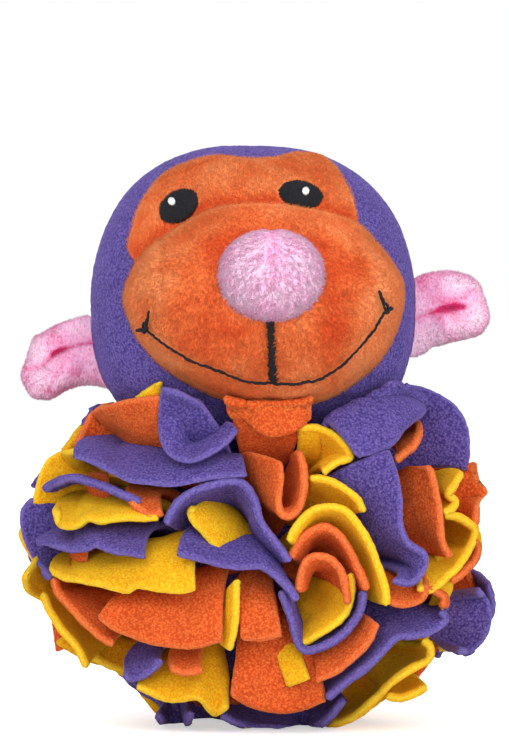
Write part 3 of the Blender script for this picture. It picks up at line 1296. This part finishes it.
def tubes(name, body, slot, lines, radii, sides=6):
    """Threads: a closed round tube along each line, thinner at its two ends."""
    points, faces, start = [], [], 0
    turn = np.linspace(0, 2 * math.pi, sides, endpoint=False)
    for line, radius in zip(lines, radii):
        along = unit(np.gradient(line, axis=0))
        reference = np.where(np.abs(along[:, 1:2]) < 0.9, (0.0, 1.0, 0.0), (0.0, 0.0, 1.0))
        across = unit(np.cross(along, reference))
        up = np.cross(along, across)
        count = len(line)
        place = np.linspace(-1, 1, count)
        size = radius * (0.35 + 0.65 * np.sqrt(1 - np.abs(place) ** 4))
        ring = across[:, None] * np.cos(turn)[None, :, None] + up[:, None] * np.sin(turn)[None, :, None]
        tube = line[:, None] + ring * size[:, None, None]
        points.append(tube.reshape(-1, 3))
        index = start + np.arange(count * sides).reshape(count, sides)
        after = np.roll(index, -1, 1)
        quads = np.stack((index[:-1], after[:-1], after[1:], index[1:]), -1).reshape(-1, 4)
        faces += [tuple(quad) for quad in quads]
        faces += [tuple(index[0][::-1]), tuple(index[-1])]
        start += count * sides
    made = mesh_object(name, np.concatenate(points), faces, MATERIALS[slot])
    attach(made, body)
    return made


def muzzle_tone(points):
    """Where the plush is brushed darker or lighter."""
    away = points - face_at(*NOSE_SHADE)
    ring = np.hypot(away[:, 0] / 0.027, away[:, 2] / 0.024)
    tone = -0.75 * np.exp(-((ring - 0.72) / 0.30) ** 2)
    tone += 0.55 * eased((ring - 1.10) / 0.5)
    tone += 0.80 * noise(points, 0.013, 41) + 0.45 * noise(points, 0.006, 42)
    share = (np.abs((points - HEAD_MIDDLE) / HEAD_HALVES) ** HEAD_SQUARENESS).sum(-1) ** (1 / HEAD_SQUARENESS)
    tone += 1.5 * np.exp(-(((share - 1.03) / 0.035) ** 2))
    tone += 0.80 * eased((points[:, 0] - face_at(PALE_CHEEK, 0)[0]) / 0.012)
    beside = eased((face_at(PANEL_SEAM, 0)[0] - points[:, 0]) / 0.0012)
    return tone + 0.5 * beside * eased((points[:, 2] - face_at(0, PANEL_TOP)[2]) / 0.003)


def mask_tone(points):
    tone = 0.5 * noise(points, 0.012, 43) + 0.25 * noise(points, 0.005, 44)
    away = points - MUZZLE_MIDDLE
    length = np.linalg.norm(away, axis=1)
    near = length / muzzle_radius(away / length[:, None]) - 1
    return tone - 1.5 * np.exp(-((near - 0.02) / 0.05) ** 2)


def chin_hollow(points, directions):
    """How far the head draws back in the shade below the muzzle."""
    across = np.exp(-(((points[:, 0] - face_at(CHIN_ACROSS, 0)[0]) / 0.026) ** 4))
    below = eased((face_at(0, CHIN_TOP)[2] - points[:, 2]) / 0.004)
    above = eased((points[:, 2] - face_at(0, CHIN_FOOT)[2]) / 0.008)
    return CHIN_HOLLOW * across * (below * above) * (directions[:, 1] < 0)


def line_distance(points, line):
    """How far each point in X and Z is from a line of joined places."""
    best = np.full(len(points), np.inf)
    for first, last in zip(line[:-1], line[1:]):
        along = last - first
        share = np.clip(((points - first) @ along) / (along @ along), 0, 1)
        best = np.minimum(best, np.linalg.norm(points - first - share[:, None] * along, axis=1))
    return best


def build_head_cover():
    directions, faces, caps = sphere_grid(300, 190)
    radius = superellipsoid(directions, HEAD_HALVES, HEAD_SQUARENESS)
    points = crowned(HEAD_MIDDLE + directions * radius[:, None])
    rough = nubs(points, 21)
    swell = 0.0005 * noise(points, 0.017, 22)
    for side, sign in (("left", -1), ("right", 1)):
        away = np.linalg.norm(points - ear_seam(side, sign)[0], axis=1)
        swell = swell * eased((away - 0.008) / 0.010)
    swell = swell - chin_hollow(points, directions)
    points = points + directions * (rough + swell)[:, None]
    cover = form(directions, faces, caps, points, "head_cover_fleece", MATERIALS["purple_fleece"])
    stuffed(cover, "head", "head_cover")


def clear_of_eyes(places):
    free = np.ones(len(places))
    for middle, long, short, tilt in EYES.values():
        away = places - face_at(*middle)
        turn = math.radians(tilt)
        u = (away[:, 0] * math.cos(turn) + away[:, 2] * math.sin(turn)) / (long / 2 + EYE_ROOM)
        v = (away[:, 2] * math.cos(turn) - away[:, 0] * math.sin(turn)) / (short / 2 + EYE_ROOM)
        free = np.where((u * u + v * v < 1) & (places[:, 1] < HEAD_MIDDLE[1]), 0, free)
    return free


def clear_of_mouth(places):
    free = np.ones(len(places))
    for line, room in (*((line, MOUTH_ROOM) for line in (SMILE, *TICKS)), (PHILTRUM, PHILTRUM_ROOM)):
        track = np.array([face_at(x, y)[[0, 2]] for x, y in line])
        free = np.where(line_distance(places[:, (0, 2)], track) < room, 0, free)
    return free


def build_mask():
    middle = np.array((FACE_X, 0, HEAD_MIDDLE[2]))
    shares = np.array(MASK_OUTLINE)
    places = middle[[0, 2]] + shares * HEAD_HALVES[[0, 2]]
    outline = np.stack((places[:, 0], np.zeros(len(places)), places[:, 1]), -1)
    outline = crowned(closed_curve(outline, 300))
    centre = outline.mean(0)
    rings = np.concatenate((np.linspace(0.02, 0.94, 64), (0.955, 0.97, 0.983, 0.993, 1.0)))
    places = centre + (outline - centre)[None] * rings[:, None, None]
    flat = places.reshape(-1, 3)
    height = PILLOW * (1 - np.repeat(rings, len(outline)) ** 26) - 0.0002
    height = height + 0.00045 * noise(flat, 0.012, 51) * (1 - np.repeat(rings, len(outline)) ** 8)
    top, normal = on_head(flat, 0.0)
    upper = top + normal * height[:, None]
    lower = top - normal * MASK_BACK
    count, around = len(rings), len(outline)
    index = np.arange(count * around).reshape(count, around)
    after = np.roll(index, -1, 1)
    quads = np.stack((index[:-1], index[1:], after[1:], after[:-1]), -1).reshape(-1, 4)
    bottom = quads[:, ::-1] + count * around
    rim = np.stack((index[-1], index[-1] + count * around, after[-1] + count * around, after[-1]), -1)
    tip = 2 * count * around
    caps = [(tip, index[0, k], after[0, k]) for k in range(around)]
    caps += [(tip + 1, after[0, k] + count * around, index[0, k] + count * around) for k in range(around)]
    ends, out = on_head(centre[None], 0.0)
    points = np.concatenate((upper, lower, ends + out * PILLOW, ends - out * MASK_BACK))
    polygons = [tuple(q) for q in np.concatenate((quads, bottom, rim))] + caps
    mask = mesh_object("face_mask_plush", points, polygons, MATERIALS["orange_plush"])
    turned_outward(mask, [0] * len(points))
    border = np.concatenate((outline, outline[:1]))[:, (0, 2)]

    def bordered_tone(places):
        away = line_distance(places[:, (0, 2)], border)
        return mask_tone(places) + 1.3 * np.exp(-((away / MASK_RIM) ** 2))

    attribute(mask, "tone", bordered_tone(points))
    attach(mask, "head")
    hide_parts("face_mask")
    rng = np.random.default_rng(SEED + 1)
    count, *blade = MASK_PILE
    spots, out = scatter(points, quads, count, rng, clear_of_eyes)
    out = out * -np.sign(out[:, 1:2])
    aside, up = noise(spots, 0.016, 45) * 0.8, 0.9 + 0.5 * noise(spots, 0.02, 46)
    nap = np.stack((aside, np.zeros(count), up), -1)
    pile("face_mask_pile", "head", "orange_plush", spots, out, nap, *blade, bordered_tone(spots), rng)


def build_muzzle():
    directions, faces, caps = sphere_grid(300, 190)
    points = MUZZLE_MIDDLE + directions * muzzle_radius(directions)[:, None]
    lumps = 0.00035 * noise(points, 0.011, 31) + 0.00010 * noise(points, 0.0035, 32)
    seam = face_at(0, MUZZLE_SEAM)[2] - 0.002
    edge = np.abs(points[:, 0] - face_at(PANEL_SEAM, 0)[0]) < PANEL_TUCK_HALF
    tuck = np.where(edge & (points[:, 2] > seam) & (directions[:, 1] < 0), -PANEL_TUCK, 0)
    points = points + directions * (lumps + tuck)[:, None]
    muzzle = form(directions, faces, caps, points, "muzzle_plush", MATERIALS["orange_plush"])
    attribute(muzzle, "tone", muzzle_tone(points) - 0.15)
    stuffed(muzzle, "head", "muzzle")
    rng = np.random.default_rng(SEED + 2)

    def shown(places):
        q = (places - HEAD_MIDDLE) / (HEAD_HALVES - 0.0005)
        return ((np.abs(q) ** HEAD_SQUARENESS).sum(1) > 1) * clear_of_mouth(places)

    count, *blade = MUZZLE_PILE
    spots, out = scatter(points, faces, count, rng, shown)
    away = spots - face_at(*MUZZLE_NAP)
    nap = np.stack((away[:, 0] * 9, np.zeros(len(spots)), -0.55 + away[:, 2] * 9), -1)
    nap += 0.55 * np.stack([noise(spots, 0.012, seed) for seed in (33, 34, 35)], -1)
    pile("muzzle_pile", "head", "orange_plush", spots, out, nap, *blade, muzzle_tone(spots), rng)


def build_nose():
    directions, faces, caps = sphere_grid(120, 80)
    radius = superellipsoid(directions, NOSE_HALVES - NOSE_PILE, NOSE_SQUARENESS)
    points = NOSE_MIDDLE + directions * radius[:, None]
    part = np.exp(-((points[:, 0] - face_at(NOSE_PARTING, 0)[0]) / 0.0016) ** 2)
    part = part * eased((points[:, 2] - face_at(0, PARTING_TOP)[2]) / 0.004)
    points = points - directions * (PARTING_DEPTH * part)[:, None]
    nose = form(directions, faces, caps, points, "nose_plush_form", MATERIALS["nose_plush"])
    attribute(nose, "tone", 0.7 + 0.4 * noise(points, 0.003, 65) - 0.5 * part)
    stuffed(nose, "head", "nose")
    rng = np.random.default_rng(SEED + 3)

    def shown(places):
        away = places - MUZZLE_MIDDLE
        length = np.linalg.norm(away, axis=1)
        return length > muzzle_radius(away / length[:, None]) + 0.0003

    count, *blade, lean = NOSE_BLADES
    spots, out = scatter(points, faces, count, rng, shown)
    rise = np.linalg.norm(spots - MUZZLE_MIDDLE, axis=1) - muzzle_radius(unit(spots - MUZZLE_MIDDLE))
    border = np.exp(-((rise / 0.0016) ** 2))[:, None]
    away = spots - face_at(*NOSE_NAP)
    side = np.tanh(away[:, 0] / 0.0022)
    comb = unit(np.stack((side * 0.42 + away[:, 0] * 26, np.zeros(count), -0.50 + away[:, 2] * 38), -1))
    locks = spots[rng.choice(count, NOSE_LOCKS, replace=False)]
    near = kdtree.KDTree(len(locks))
    for k, place in enumerate(locks):
        near.insert(place, k)
    near.balance()
    lock = np.array([near.find(place)[1] for place in spots])
    sway = rng.normal(0, LOCK_SWAY, (NOSE_LOCKS, 3))
    nap = locks[lock] + comb * LOCK_LENGTH + sway[lock] - spots
    tone = 0.6 + 0.3 * noise(spots, 0.003, 64) - 0.45 * np.exp(-(away[:, 0] / 0.0007) ** 2)
    tone -= 0.25 * np.exp(-((np.abs(away[:, 0]) - 0.0042) / 0.0008) ** 2)
    tone += rng.normal(0, LOCK_TONE, NOSE_LOCKS)[lock]
    pile("nose_pile", "head", "nose_plush", spots, out, unit(nap), *blade, lean - 0.42 * border, tone, rng)


def eye_threads(middle, long, short, axis, cross, rng):
    """Two layers of satin stitches that dome up out of the mask."""
    lines = []
    for layer in range(EYE_LAYERS):
        for k in range(EYE_STITCHES):
            u = -1 + 2 * (k + 0.5) / EYE_STITCHES + rng.uniform(-0.008, 0.008)
            reach = math.sqrt(1 - u * u) * short / 2
            if reach < SHORTEST_STITCH:
                continue
            v = np.linspace(-1, 1, 13)
            skew = EYE_SKEW * layer
            places = middle + axis * (u * long / 2) + v[:, None] * (cross * reach + axis * skew)
            places = places + cross * rng.normal(0, 0.00010)
            dome = EYE_DOME * np.sqrt(np.clip(1 - u * u * 0.9, 0, 1)) * np.sqrt(np.clip(1 - v**4, 0, 1))
            lift = PILLOW - 0.0001 + layer * 0.00012 + dome + rng.normal(0, 0.00003)
            lines.append(on_head(places, lift[:, None])[0])
    return lines


def glint_threads(spot, axis, cross):
    lines = []
    for k in range(6):
        u = (k - 2.5) / 3
        reach = GLINT_HALVES[1] * math.sqrt(1 - u * u)
        v = np.linspace(-1, 1, 7)
        places = spot + axis * (u * GLINT_HALVES[0]) + v[:, None] * cross * reach
        lift = PILLOW + 0.0009 + 0.0002 * (1 - v**2)
        lines.append(on_head(places, lift[:, None])[0])
    return lines


def build_eyes():
    for side, (place, long, short, tilt) in EYES.items():
        rng = np.random.default_rng(SEED + 10 + len(side))
        turn = math.radians(tilt)
        axis = np.array((math.cos(turn), 0, math.sin(turn)))
        cross = np.array((-math.sin(turn), 0, math.cos(turn)))
        lines = eye_threads(face_at(*place), long, short, axis, cross, rng)
        eye = tubes(f"{side}_eye_threads", "head", "black_thread", lines, [THREAD] * len(lines))
        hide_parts(f"{side}_eye")
        lines = glint_threads(face_at(*EYE_GLINTS[side]), axis, cross)
        tubes(f"{side}_eye_glint", "head", "white_thread", lines, [GLINT_THREAD] * len(lines))


def stitch_line(places, radius, rng):
    """Backstitches along a line on the muzzle, each bowed up a little out of the pile."""
    places = even_steps(np.array([face_at(x, y) for x, y in places]), LINE_STEPS)
    total = np.linalg.norm(np.diff(places, axis=0), axis=1).sum()
    count = max(2, round(total / STITCH_LENGTH))
    lines, radii = [], []
    for k in range(count):
        first, last = k / count, (k + STITCH_OVERLAP) / count
        pick = np.clip(np.linspace(first, last, 9), 0, 1) * (LINE_STEPS - 1)
        line = np.stack([np.interp(pick, np.arange(LINE_STEPS), places[:, i]) for i in range(3)], -1)
        line += rng.normal(0, 0.00012, 3)
        v = np.linspace(-1, 1, 9)
        lift = 0.0010 + 0.00035 * (1 - v**2)
        line, _ = on_muzzle(line, lift[:, None])
        lines.append(line)
        radii.append(radius * rng.uniform(0.8, 1.15))
    return lines, radii


def build_mouth():
    rng = np.random.default_rng(SEED + 20)
    lines, radii = stitch_line(SMILE, SMILE_THREAD, rng)
    for tick in TICKS:
        more, sizes = stitch_line(tick, TICK_THREAD, rng)
        lines += more
        radii += sizes
    column = even_steps(np.array([face_at(x, y) for x, y in PHILTRUM]), 58)
    for k, place in enumerate(column):
        v = np.linspace(-1, 1, 9)
        half = PHILTRUM_HALF * (1 + 0.10 * rng.normal())
        shift = np.array((0.00018 * rng.normal(), 0, 0))
        places = place + v[:, None] * np.array((half, 0, 0.0002)) + shift
        lift = 0.0009 + 0.0007 * np.sqrt(np.clip(1 - v**4, 0, 1))
        line, _ = on_muzzle(places, lift[:, None])
        lines.append(line)
        radii.append(PHILTRUM_THREAD)
    mouth = tubes("mouth_threads", "head", "black_thread", lines, radii)
    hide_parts("mouth_stitching")


# Ears

EAR_ROOT_RADIUS = 0.0035
EAR_Z = {"left": -0.0165, "right": -0.0025}


def ear_seam(side, sign):
    low = EAR_Z[side] / HEAD_HALVES[2]
    wide = (1 - abs(low) ** HEAD_SQUARENESS) ** (1 / HEAD_SQUARENESS)
    surface = np.array((sign * wide * HEAD_HALVES[0], 0, EAR_Z[side]))
    slope = np.array((
        sign * wide ** (HEAD_SQUARENESS - 1) / HEAD_HALVES[0], 0,
        math.copysign(abs(low) ** (HEAD_SQUARENESS - 1), low) / HEAD_HALVES[2],
    ))
    outwards = unit(slope)
    return HEAD_MIDDLE + surface + outwards * (EAR_ROOT_RADIUS + CLEARANCE), outwards


EAR_OUTLINES = {
    "left": (
        (114, 321), (100, 319), (88, 316), (75, 319), (65, 322), (53, 327), (41, 334), (35, 337), (31, 345),
        (25, 364), (22, 371), (22, 379), (27, 390), (33, 397), (41, 399), (50, 399), (58, 395), (66, 390),
        (75, 387), (83, 385), (95, 385), (104, 387), (116, 390), (120, 372), (120, 345), (117, 326),
    ),
    "right": (
        (396, 282), (405, 281), (412, 279), (417, 277), (425, 274), (436, 272), (448, 271), (459, 273),
        (469, 276), (476, 281), (480, 286), (484, 297), (487, 306), (489, 315), (488, 323), (484, 330),
        (478, 335), (468, 338), (450, 342), (440, 345), (431, 347), (425, 352), (416, 356), (406, 358),
        (396, 359), (393, 340), (393, 320), (393, 300),
    ),
}
EAR_CREASES = {
    "left": (
        (104, 342), (93, 343), (80, 345), (69, 348), (61, 351), (56, 353), (53, 357), (49, 360), (45, 364),
        (42, 367), (37, 368), (26, 369),
    ),
    "right": ((408, 321), (417, 318), (426, 315), (432, 313), (437, 311), (443, 309), (452, 308), (464, 307)),
}
EAR_FOLDS = {
    "left": ((64, 366), (57, 377), (48, 391)),
    "right": ((455, 304), (465, 297), (470, 289)),
}
EAR_HOLLOWS = {"left": ((58, 352), 0.0021, 0.0008, 28), "right": ((450, 308), 0.0034, 0.0010, 8)}
EAR_SHADES = {"left": (78, 373), "right": (421, 287)}
EAR_LIGHTS = {"left": ((39, 352), (40, 385), (75, 335)), "right": ((455, 285), (450, 328), (478, 318))}
EAR_HALF_DEPTH = 0.0064


def ear_marks(side, places, depth):
    """How deep an ear is folded in at places in X and Z, and where its plush is darker or lighter."""
    def line(table):
        return np.array([face_at(x, y, depth)[[0, 2]] for x, y in table])

    away = line_distance(places, line(EAR_CREASES[side]))
    beside = line_distance(places, line(EAR_FOLDS[side]))
    middle, long, short, tilt = EAR_HOLLOWS[side]
    offset = places - face_at(*middle, depth)[[0, 2]]
    turn = math.radians(tilt)
    u = offset @ np.array((math.cos(turn), math.sin(turn)))
    v = offset @ np.array((-math.sin(turn), math.cos(turn)))
    hole = np.exp(-((u / long) ** 2) - (v / short) ** 2)
    fold = 0.20 * np.exp(-((away / 0.0008) ** 2)) + 0.20 * np.exp(-((away / 0.0036) ** 2))
    fold = fold + 0.18 * hole + 0.08 * np.exp(-((beside / 0.0012) ** 2))
    tone = -0.9 * np.exp(-((away / 0.0005) ** 2)) - 2.8 * hole - 0.5 * np.exp(-((beside / 0.0009) ** 2))
    tone = tone - 0.7 * np.exp(-((np.linalg.norm(offset, axis=1) / 0.0045) ** 2))
    shade = np.linalg.norm(places - line([EAR_SHADES[side]]), axis=1)
    tone = tone - 0.8 * np.exp(-((shade / 0.0030) ** 2))
    for spot in line(EAR_LIGHTS[side]):
        tone = tone + 0.75 * np.exp(-((np.linalg.norm(places - spot, axis=1) / 0.0036) ** 2))
    return fold, tone


def out_of_head(points, outwards):
    """The points, with any inside the head moved outwards to its surface."""
    low, high = np.zeros(len(points)), np.full(len(points), 0.03)
    for _ in range(18):
        middle = (low + high) / 2
        away = (points + outwards * middle[:, None] - HEAD_MIDDLE) / (HEAD_HALVES + 0.0002)
        within = (np.abs(away) ** HEAD_SQUARENESS).sum(1) < 1
        low, high = np.where(within, middle, low), np.where(within, high, middle)
    return points + outwards * np.where(high > 0.0002, high, 0)[:, None]


def build_ears():
    """Each ear is a plump folded lobe, creased along its length, sewn to the head all round its root."""
    for side, sign in (("left", -1), ("right", 1)):
        hinge, outwards = ear_seam(side, sign)
        upwards = np.array((-outwards[2], 0, outwards[0])) * sign
        outline = closed_curve(np.array([face_at(x, y, hinge[1]) for x, y in EAR_OUTLINES[side]]), 240)
        centre = outline.mean(0)
        rings = np.concatenate((np.linspace(0.03, 0.90, 52), 1 - np.geomspace(0.085, 0.0012, 14), (1.0,)))
        flat = (centre + (outline - centre)[None] * rings[:, None, None]).reshape(-1, 3)
        edge = np.repeat(rings, len(outline))
        out = (flat - hinge) @ outwards
        plump = EAR_ROOT_RADIUS + (EAR_HALF_DEPTH - EAR_ROOT_RADIUS) * eased((out + 0.001) / 0.008)
        profile = np.sqrt(np.clip(1 - edge**3.0, 0, 1))
        fold, tone = ear_marks(side, flat[:, (0, 2)], hinge[1])
        lumps = 1 + 0.10 * noise(flat, 0.006, 90 + sign)
        front, back = flat.copy(), flat.copy()
        front[:, 1] = hinge[1] - plump * profile * (1 - np.clip(fold, 0, 0.85)) * lumps
        back[:, 1] = hinge[1] + plump * profile * (0.92 - 0.3 * np.clip(fold, 0, 0.5))
        front[:, 1] = np.where(edge == 1, hinge[1], front[:, 1])
        front, back = out_of_head(front, outwards), out_of_head(back, outwards)
        count, around = len(rings), len(outline)
        index = np.arange(count * around).reshape(count, around)
        after = np.roll(index, -1, 1)
        quads = np.stack((index[:-1], index[1:], after[1:], after[:-1]), -1).reshape(-1, 4)
        inner = np.arange(count * around, (2 * count - 1) * around).reshape(count - 1, around)
        below = np.concatenate((inner, index[-1:]))
        after_below = np.roll(below, -1, 1)
        under = np.stack((below[:-1], after_below[:-1], after_below[1:], below[1:]), -1).reshape(-1, 4)
        tip = (2 * count - 1) * around
        caps = [(tip, index[0, k], after[0, k]) for k in range(around)]
        caps += [(tip + 1, after_below[0, k], below[0, k]) for k in range(around)]
        ends = np.stack((front[:around].mean(0), back[:around].mean(0)))
        points = np.concatenate((front, back[:(count - 1) * around], ends))
        ear = mesh_object(
            f"{side}_ear_plush", points, [tuple(q) for q in np.concatenate((quads, under))] + caps,
            MATERIALS["pink_plush"],
        )
        turned_outward(ear, [0] * len(points))
        attribute(ear, "tone", np.concatenate((tone, np.zeros(len(points) - len(tone)))) + 0.1)
        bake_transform(ear)
        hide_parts(f"{side}_ear")
        rng = np.random.default_rng(SEED + 30 + sign)

        def shown(places):
            away = (places - HEAD_MIDDLE) / (HEAD_HALVES + 0.0006)
            return ((np.abs(away) ** HEAD_SQUARENESS).sum(1) > 1) * 1.0

        count, *blade = EAR_PILE
        spots, normal = scatter(points, np.concatenate((quads, under)), count, rng, shown)
        facing = np.sign(normal[:, 1]) == np.sign(spots[:, 1] - hinge[1])
        normal = np.where(facing[:, None], normal, -normal)
        nap = outwards * 0.5 + upwards * np.clip(((spots - hinge) @ upwards) / 0.006, -0.8, 0.8)[:, None]
        nap = nap + 0.25 * np.stack([noise(spots, 0.005, seed) for seed in (71, 72, 73)], -1)
        tone = np.where(normal[:, 1] < 0, ear_marks(side, spots[:, (0, 2)], hinge[1])[1], 0)
        tone = tone + 0.35 * noise(spots, 0.0035, 74) + rng.normal(0, 0.15, len(spots)) + 0.1
        fur = pile(f"{side}_ear_pile", None, "pink_plush", spots, normal, nap, *blade, tone, rng)
        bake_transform(fur)


# Hidden pieces

CORE_WALL, HEAD_WALL = 0.0034, 0.0030
COLLAR_RADIUS, COLLAR_GATHER, COLLAR_PLEATS = 0.0130, 0.0005, 18
COLLAR_SINK, COLLAR_RISE = 0.0016, 0.0022


def build_core(grid):
    """The sewn ball that carries the strips, with its filling."""
    directions = grid[0]
    plain = body_radius(directions) * CORE_SHARE
    pleats = 0.0004 * np.sin(14 * np.arctan2(directions[:, 2], directions[:, 0])) * np.abs(directions[:, 1])
    points = BODY_CENTRE + directions * (plain + pleats - 0.0001)[:, None]
    ball = form(*grid, points, "core_cover_cloth", MATERIALS["purple_fleece"])
    stuffed(ball, "ball", "core_cover")
    lumps = 0.0004 * noise(directions * plain[:, None], 0.004, 81)
    points = BODY_CENTRE + directions * (plain - CORE_WALL + lumps)[:, None]
    wadding = form(*grid, points, "core_wadding", MATERIALS["white_filling"])
    stuffed(wadding, "ball", "core_filling")


def build_head_filling(grid):
    directions = grid[0]
    radius = superellipsoid(directions, HEAD_HALVES - HEAD_WALL, HEAD_SQUARENESS)
    lumps = 0.0004 * noise(directions * radius[:, None], 0.006, 82)
    lumps = lumps - chin_hollow(HEAD_MIDDLE + directions * radius[:, None], directions)
    points = HEAD_MIDDLE + directions * (radius + lumps)[:, None]
    wadding = form(*grid, points, "head_wadding", MATERIALS["white_filling"])
    stuffed(wadding, "head", "head_filling")


def build_collar():
    """The gathered cloth between ball and head."""
    around, rows = 160, 40
    top = float(body_radius(np.array((0.0, 0.0, 1.0))))
    low = BODY_CENTRE[2] + CORE_SHARE * top - COLLAR_SINK
    high = NECK_PIVOT[2] + COLLAR_RISE
    turn, way = np.meshgrid(
        np.linspace(0, 2 * math.pi, around, endpoint=False), np.linspace(0, 1, rows), indexing="ij"
    )
    gather = np.sin(math.pi * way)
    waist = COLLAR_RADIUS - COLLAR_GATHER * gather + COLLAR_GATHER * np.sin(COLLAR_PLEATS * turn) * gather
    points = np.stack((
        BODY_PLACE[0] + waist * np.cos(turn), BODY_PLACE[1] + waist * np.sin(turn), low + (high - low) * way
    ), -1).reshape(-1, 3)
    index = np.arange(around * rows).reshape(around, rows)
    after = np.roll(index, -1, 0)
    quads = np.stack((index[:, :-1], after[:, :-1], after[:, 1:], index[:, 1:]), -1).reshape(-1, 4)
    polygons = [tuple(quad) for quad in quads] + [tuple(index[::-1, 0]), tuple(index[:, -1])]
    collar = mesh_object("neck_gather", points, polygons, MATERIALS["purple_fleece"])
    stuffed(collar, "neck", "neck_collar")


def finish_squeaker():
    for made in bpy.data.objects:
        if made.name.startswith("squeaker") and made.type == "MESH":
            made.data.materials.clear()
            made.data.materials.append(MATERIALS["squeaker_plastic"])


# Stage, light and camera

FLOOR_HALF, FLOOR_GLOW = 30.0, 0.52
WORLD_LIGHT = 0.50
LAMP_AIM = Vector((0, 0, 0.08))
SENSOR = 36

# Each lamp: its place, the length of its sides and its power in watts

LAMPS = (
    ("key", (-0.45, -0.85, 0.95), 0.6, 2.8),
    ("front", (0.05, -1.75, 0.30), 2.4, 38.0),
    ("fill", (0.85, -0.70, 0.35), 0.8, 2.0),
    ("top", (0.05, 0.10, 1.10), 0.6, 1.2),
    ("back", (-0.30, 1.70, 0.60), 1.6, 12.0),
)


def build_floor():
    """A pale floor that the camera sees almost white, and that keeps the shadow."""
    points = [(x * FLOOR_HALF, y * FLOOR_HALF, 0) for x, y in ((-1, -1), (1, -1), (1, 1), (-1, 1))]
    made, tree, shader = shader_tree("floor")
    set_inputs(shader, {"Base Color": (0.98, 0.98, 0.98, 1), "Roughness": 0.9})
    set_inputs(shader, {"Emission Color": (1, 1, 1, 1)})
    path = tree.nodes.new("ShaderNodeLightPath")
    level = node_of(tree, "ShaderNodeMapRange")
    tree.links.new(path.outputs["Is Camera Ray"], level.inputs["Value"])
    set_inputs(level, {"To Max": FLOOR_GLOW})
    tree.links.new(level.outputs["Result"], shader.inputs["Emission Strength"])
    floor = mesh_object("floor", points, [(0, 1, 2, 3)], made, False)


def build_world():
    """White to the camera and in reflections, and half as bright in the light it casts."""
    world = bpy.data.worlds.new("studio")
    bpy.context.scene.world = world
    world.use_nodes = True
    tree = world.node_tree
    back = tree.nodes["Background"]
    set_inputs(back, {"Color": (1, 1, 1, 1)})
    path = tree.nodes.new("ShaderNodeLightPath")
    shown = node_of(tree, "ShaderNodeMath", operation="MAXIMUM")
    tree.links.new(path.outputs["Is Camera Ray"], shown.inputs[0])
    tree.links.new(path.outputs["Is Glossy Ray"], shown.inputs[1])
    level = node_of(tree, "ShaderNodeMapRange")
    tree.links.new(shown.outputs[0], level.inputs["Value"])
    set_inputs(level, {"To Min": WORLD_LIGHT, "To Max": 1.0})
    tree.links.new(level.outputs["Result"], back.inputs["Strength"])


def build_lamps():
    for name, place, side, power in LAMPS:
        lamp = bpy.data.lights.new(name, "AREA")
        lamp.size = side
        lamp.energy = power
        made = bpy.data.objects.new(name, lamp)
        made.location = place
        aim = LAMP_AIM - made.location
        made.rotation_euler = aim.to_track_quat("-Z", "Y").to_euler()
        bpy.context.scene.collection.objects.link(made)


def build_camera():
    """The photograph's frame: FRAME_STEP a pixel at the face of the toy, seen almost level."""
    data = bpy.data.cameras.new("camera")
    camera = bpy.data.objects.new("camera", data)
    bpy.context.scene.collection.objects.link(camera)
    bpy.context.scene.camera = camera
    aim = Vector(FRAME_MIDDLE)
    camera.location = aim + Vector((0, -math.cos(CAMERA_LIFT), math.sin(CAMERA_LIFT))) * CAMERA_DISTANCE
    camera.rotation_euler = (aim - camera.location).to_track_quat("-Z", "Y").to_euler()
    data.sensor_width = SENSOR
    data.lens = SENSOR / 2 / math.tan(math.atan(FRAME_HEIGHT * FRAME_STEP / 2 / CAMERA_DISTANCE))
    data.clip_start, data.clip_end = 0.05, 20


build_strips()
build_head_cover()
build_mask()
build_muzzle()
build_nose()
build_eyes()
build_mouth()
build_ears()
inner_grid = sphere_grid(160, 90)
build_core(inner_grid)
build_head_filling(inner_grid)
build_collar()
finish_squeaker()
build_floor()
build_world()
build_lamps()
build_camera()

bpy.context.scene.view_settings.view_transform = "Standard"
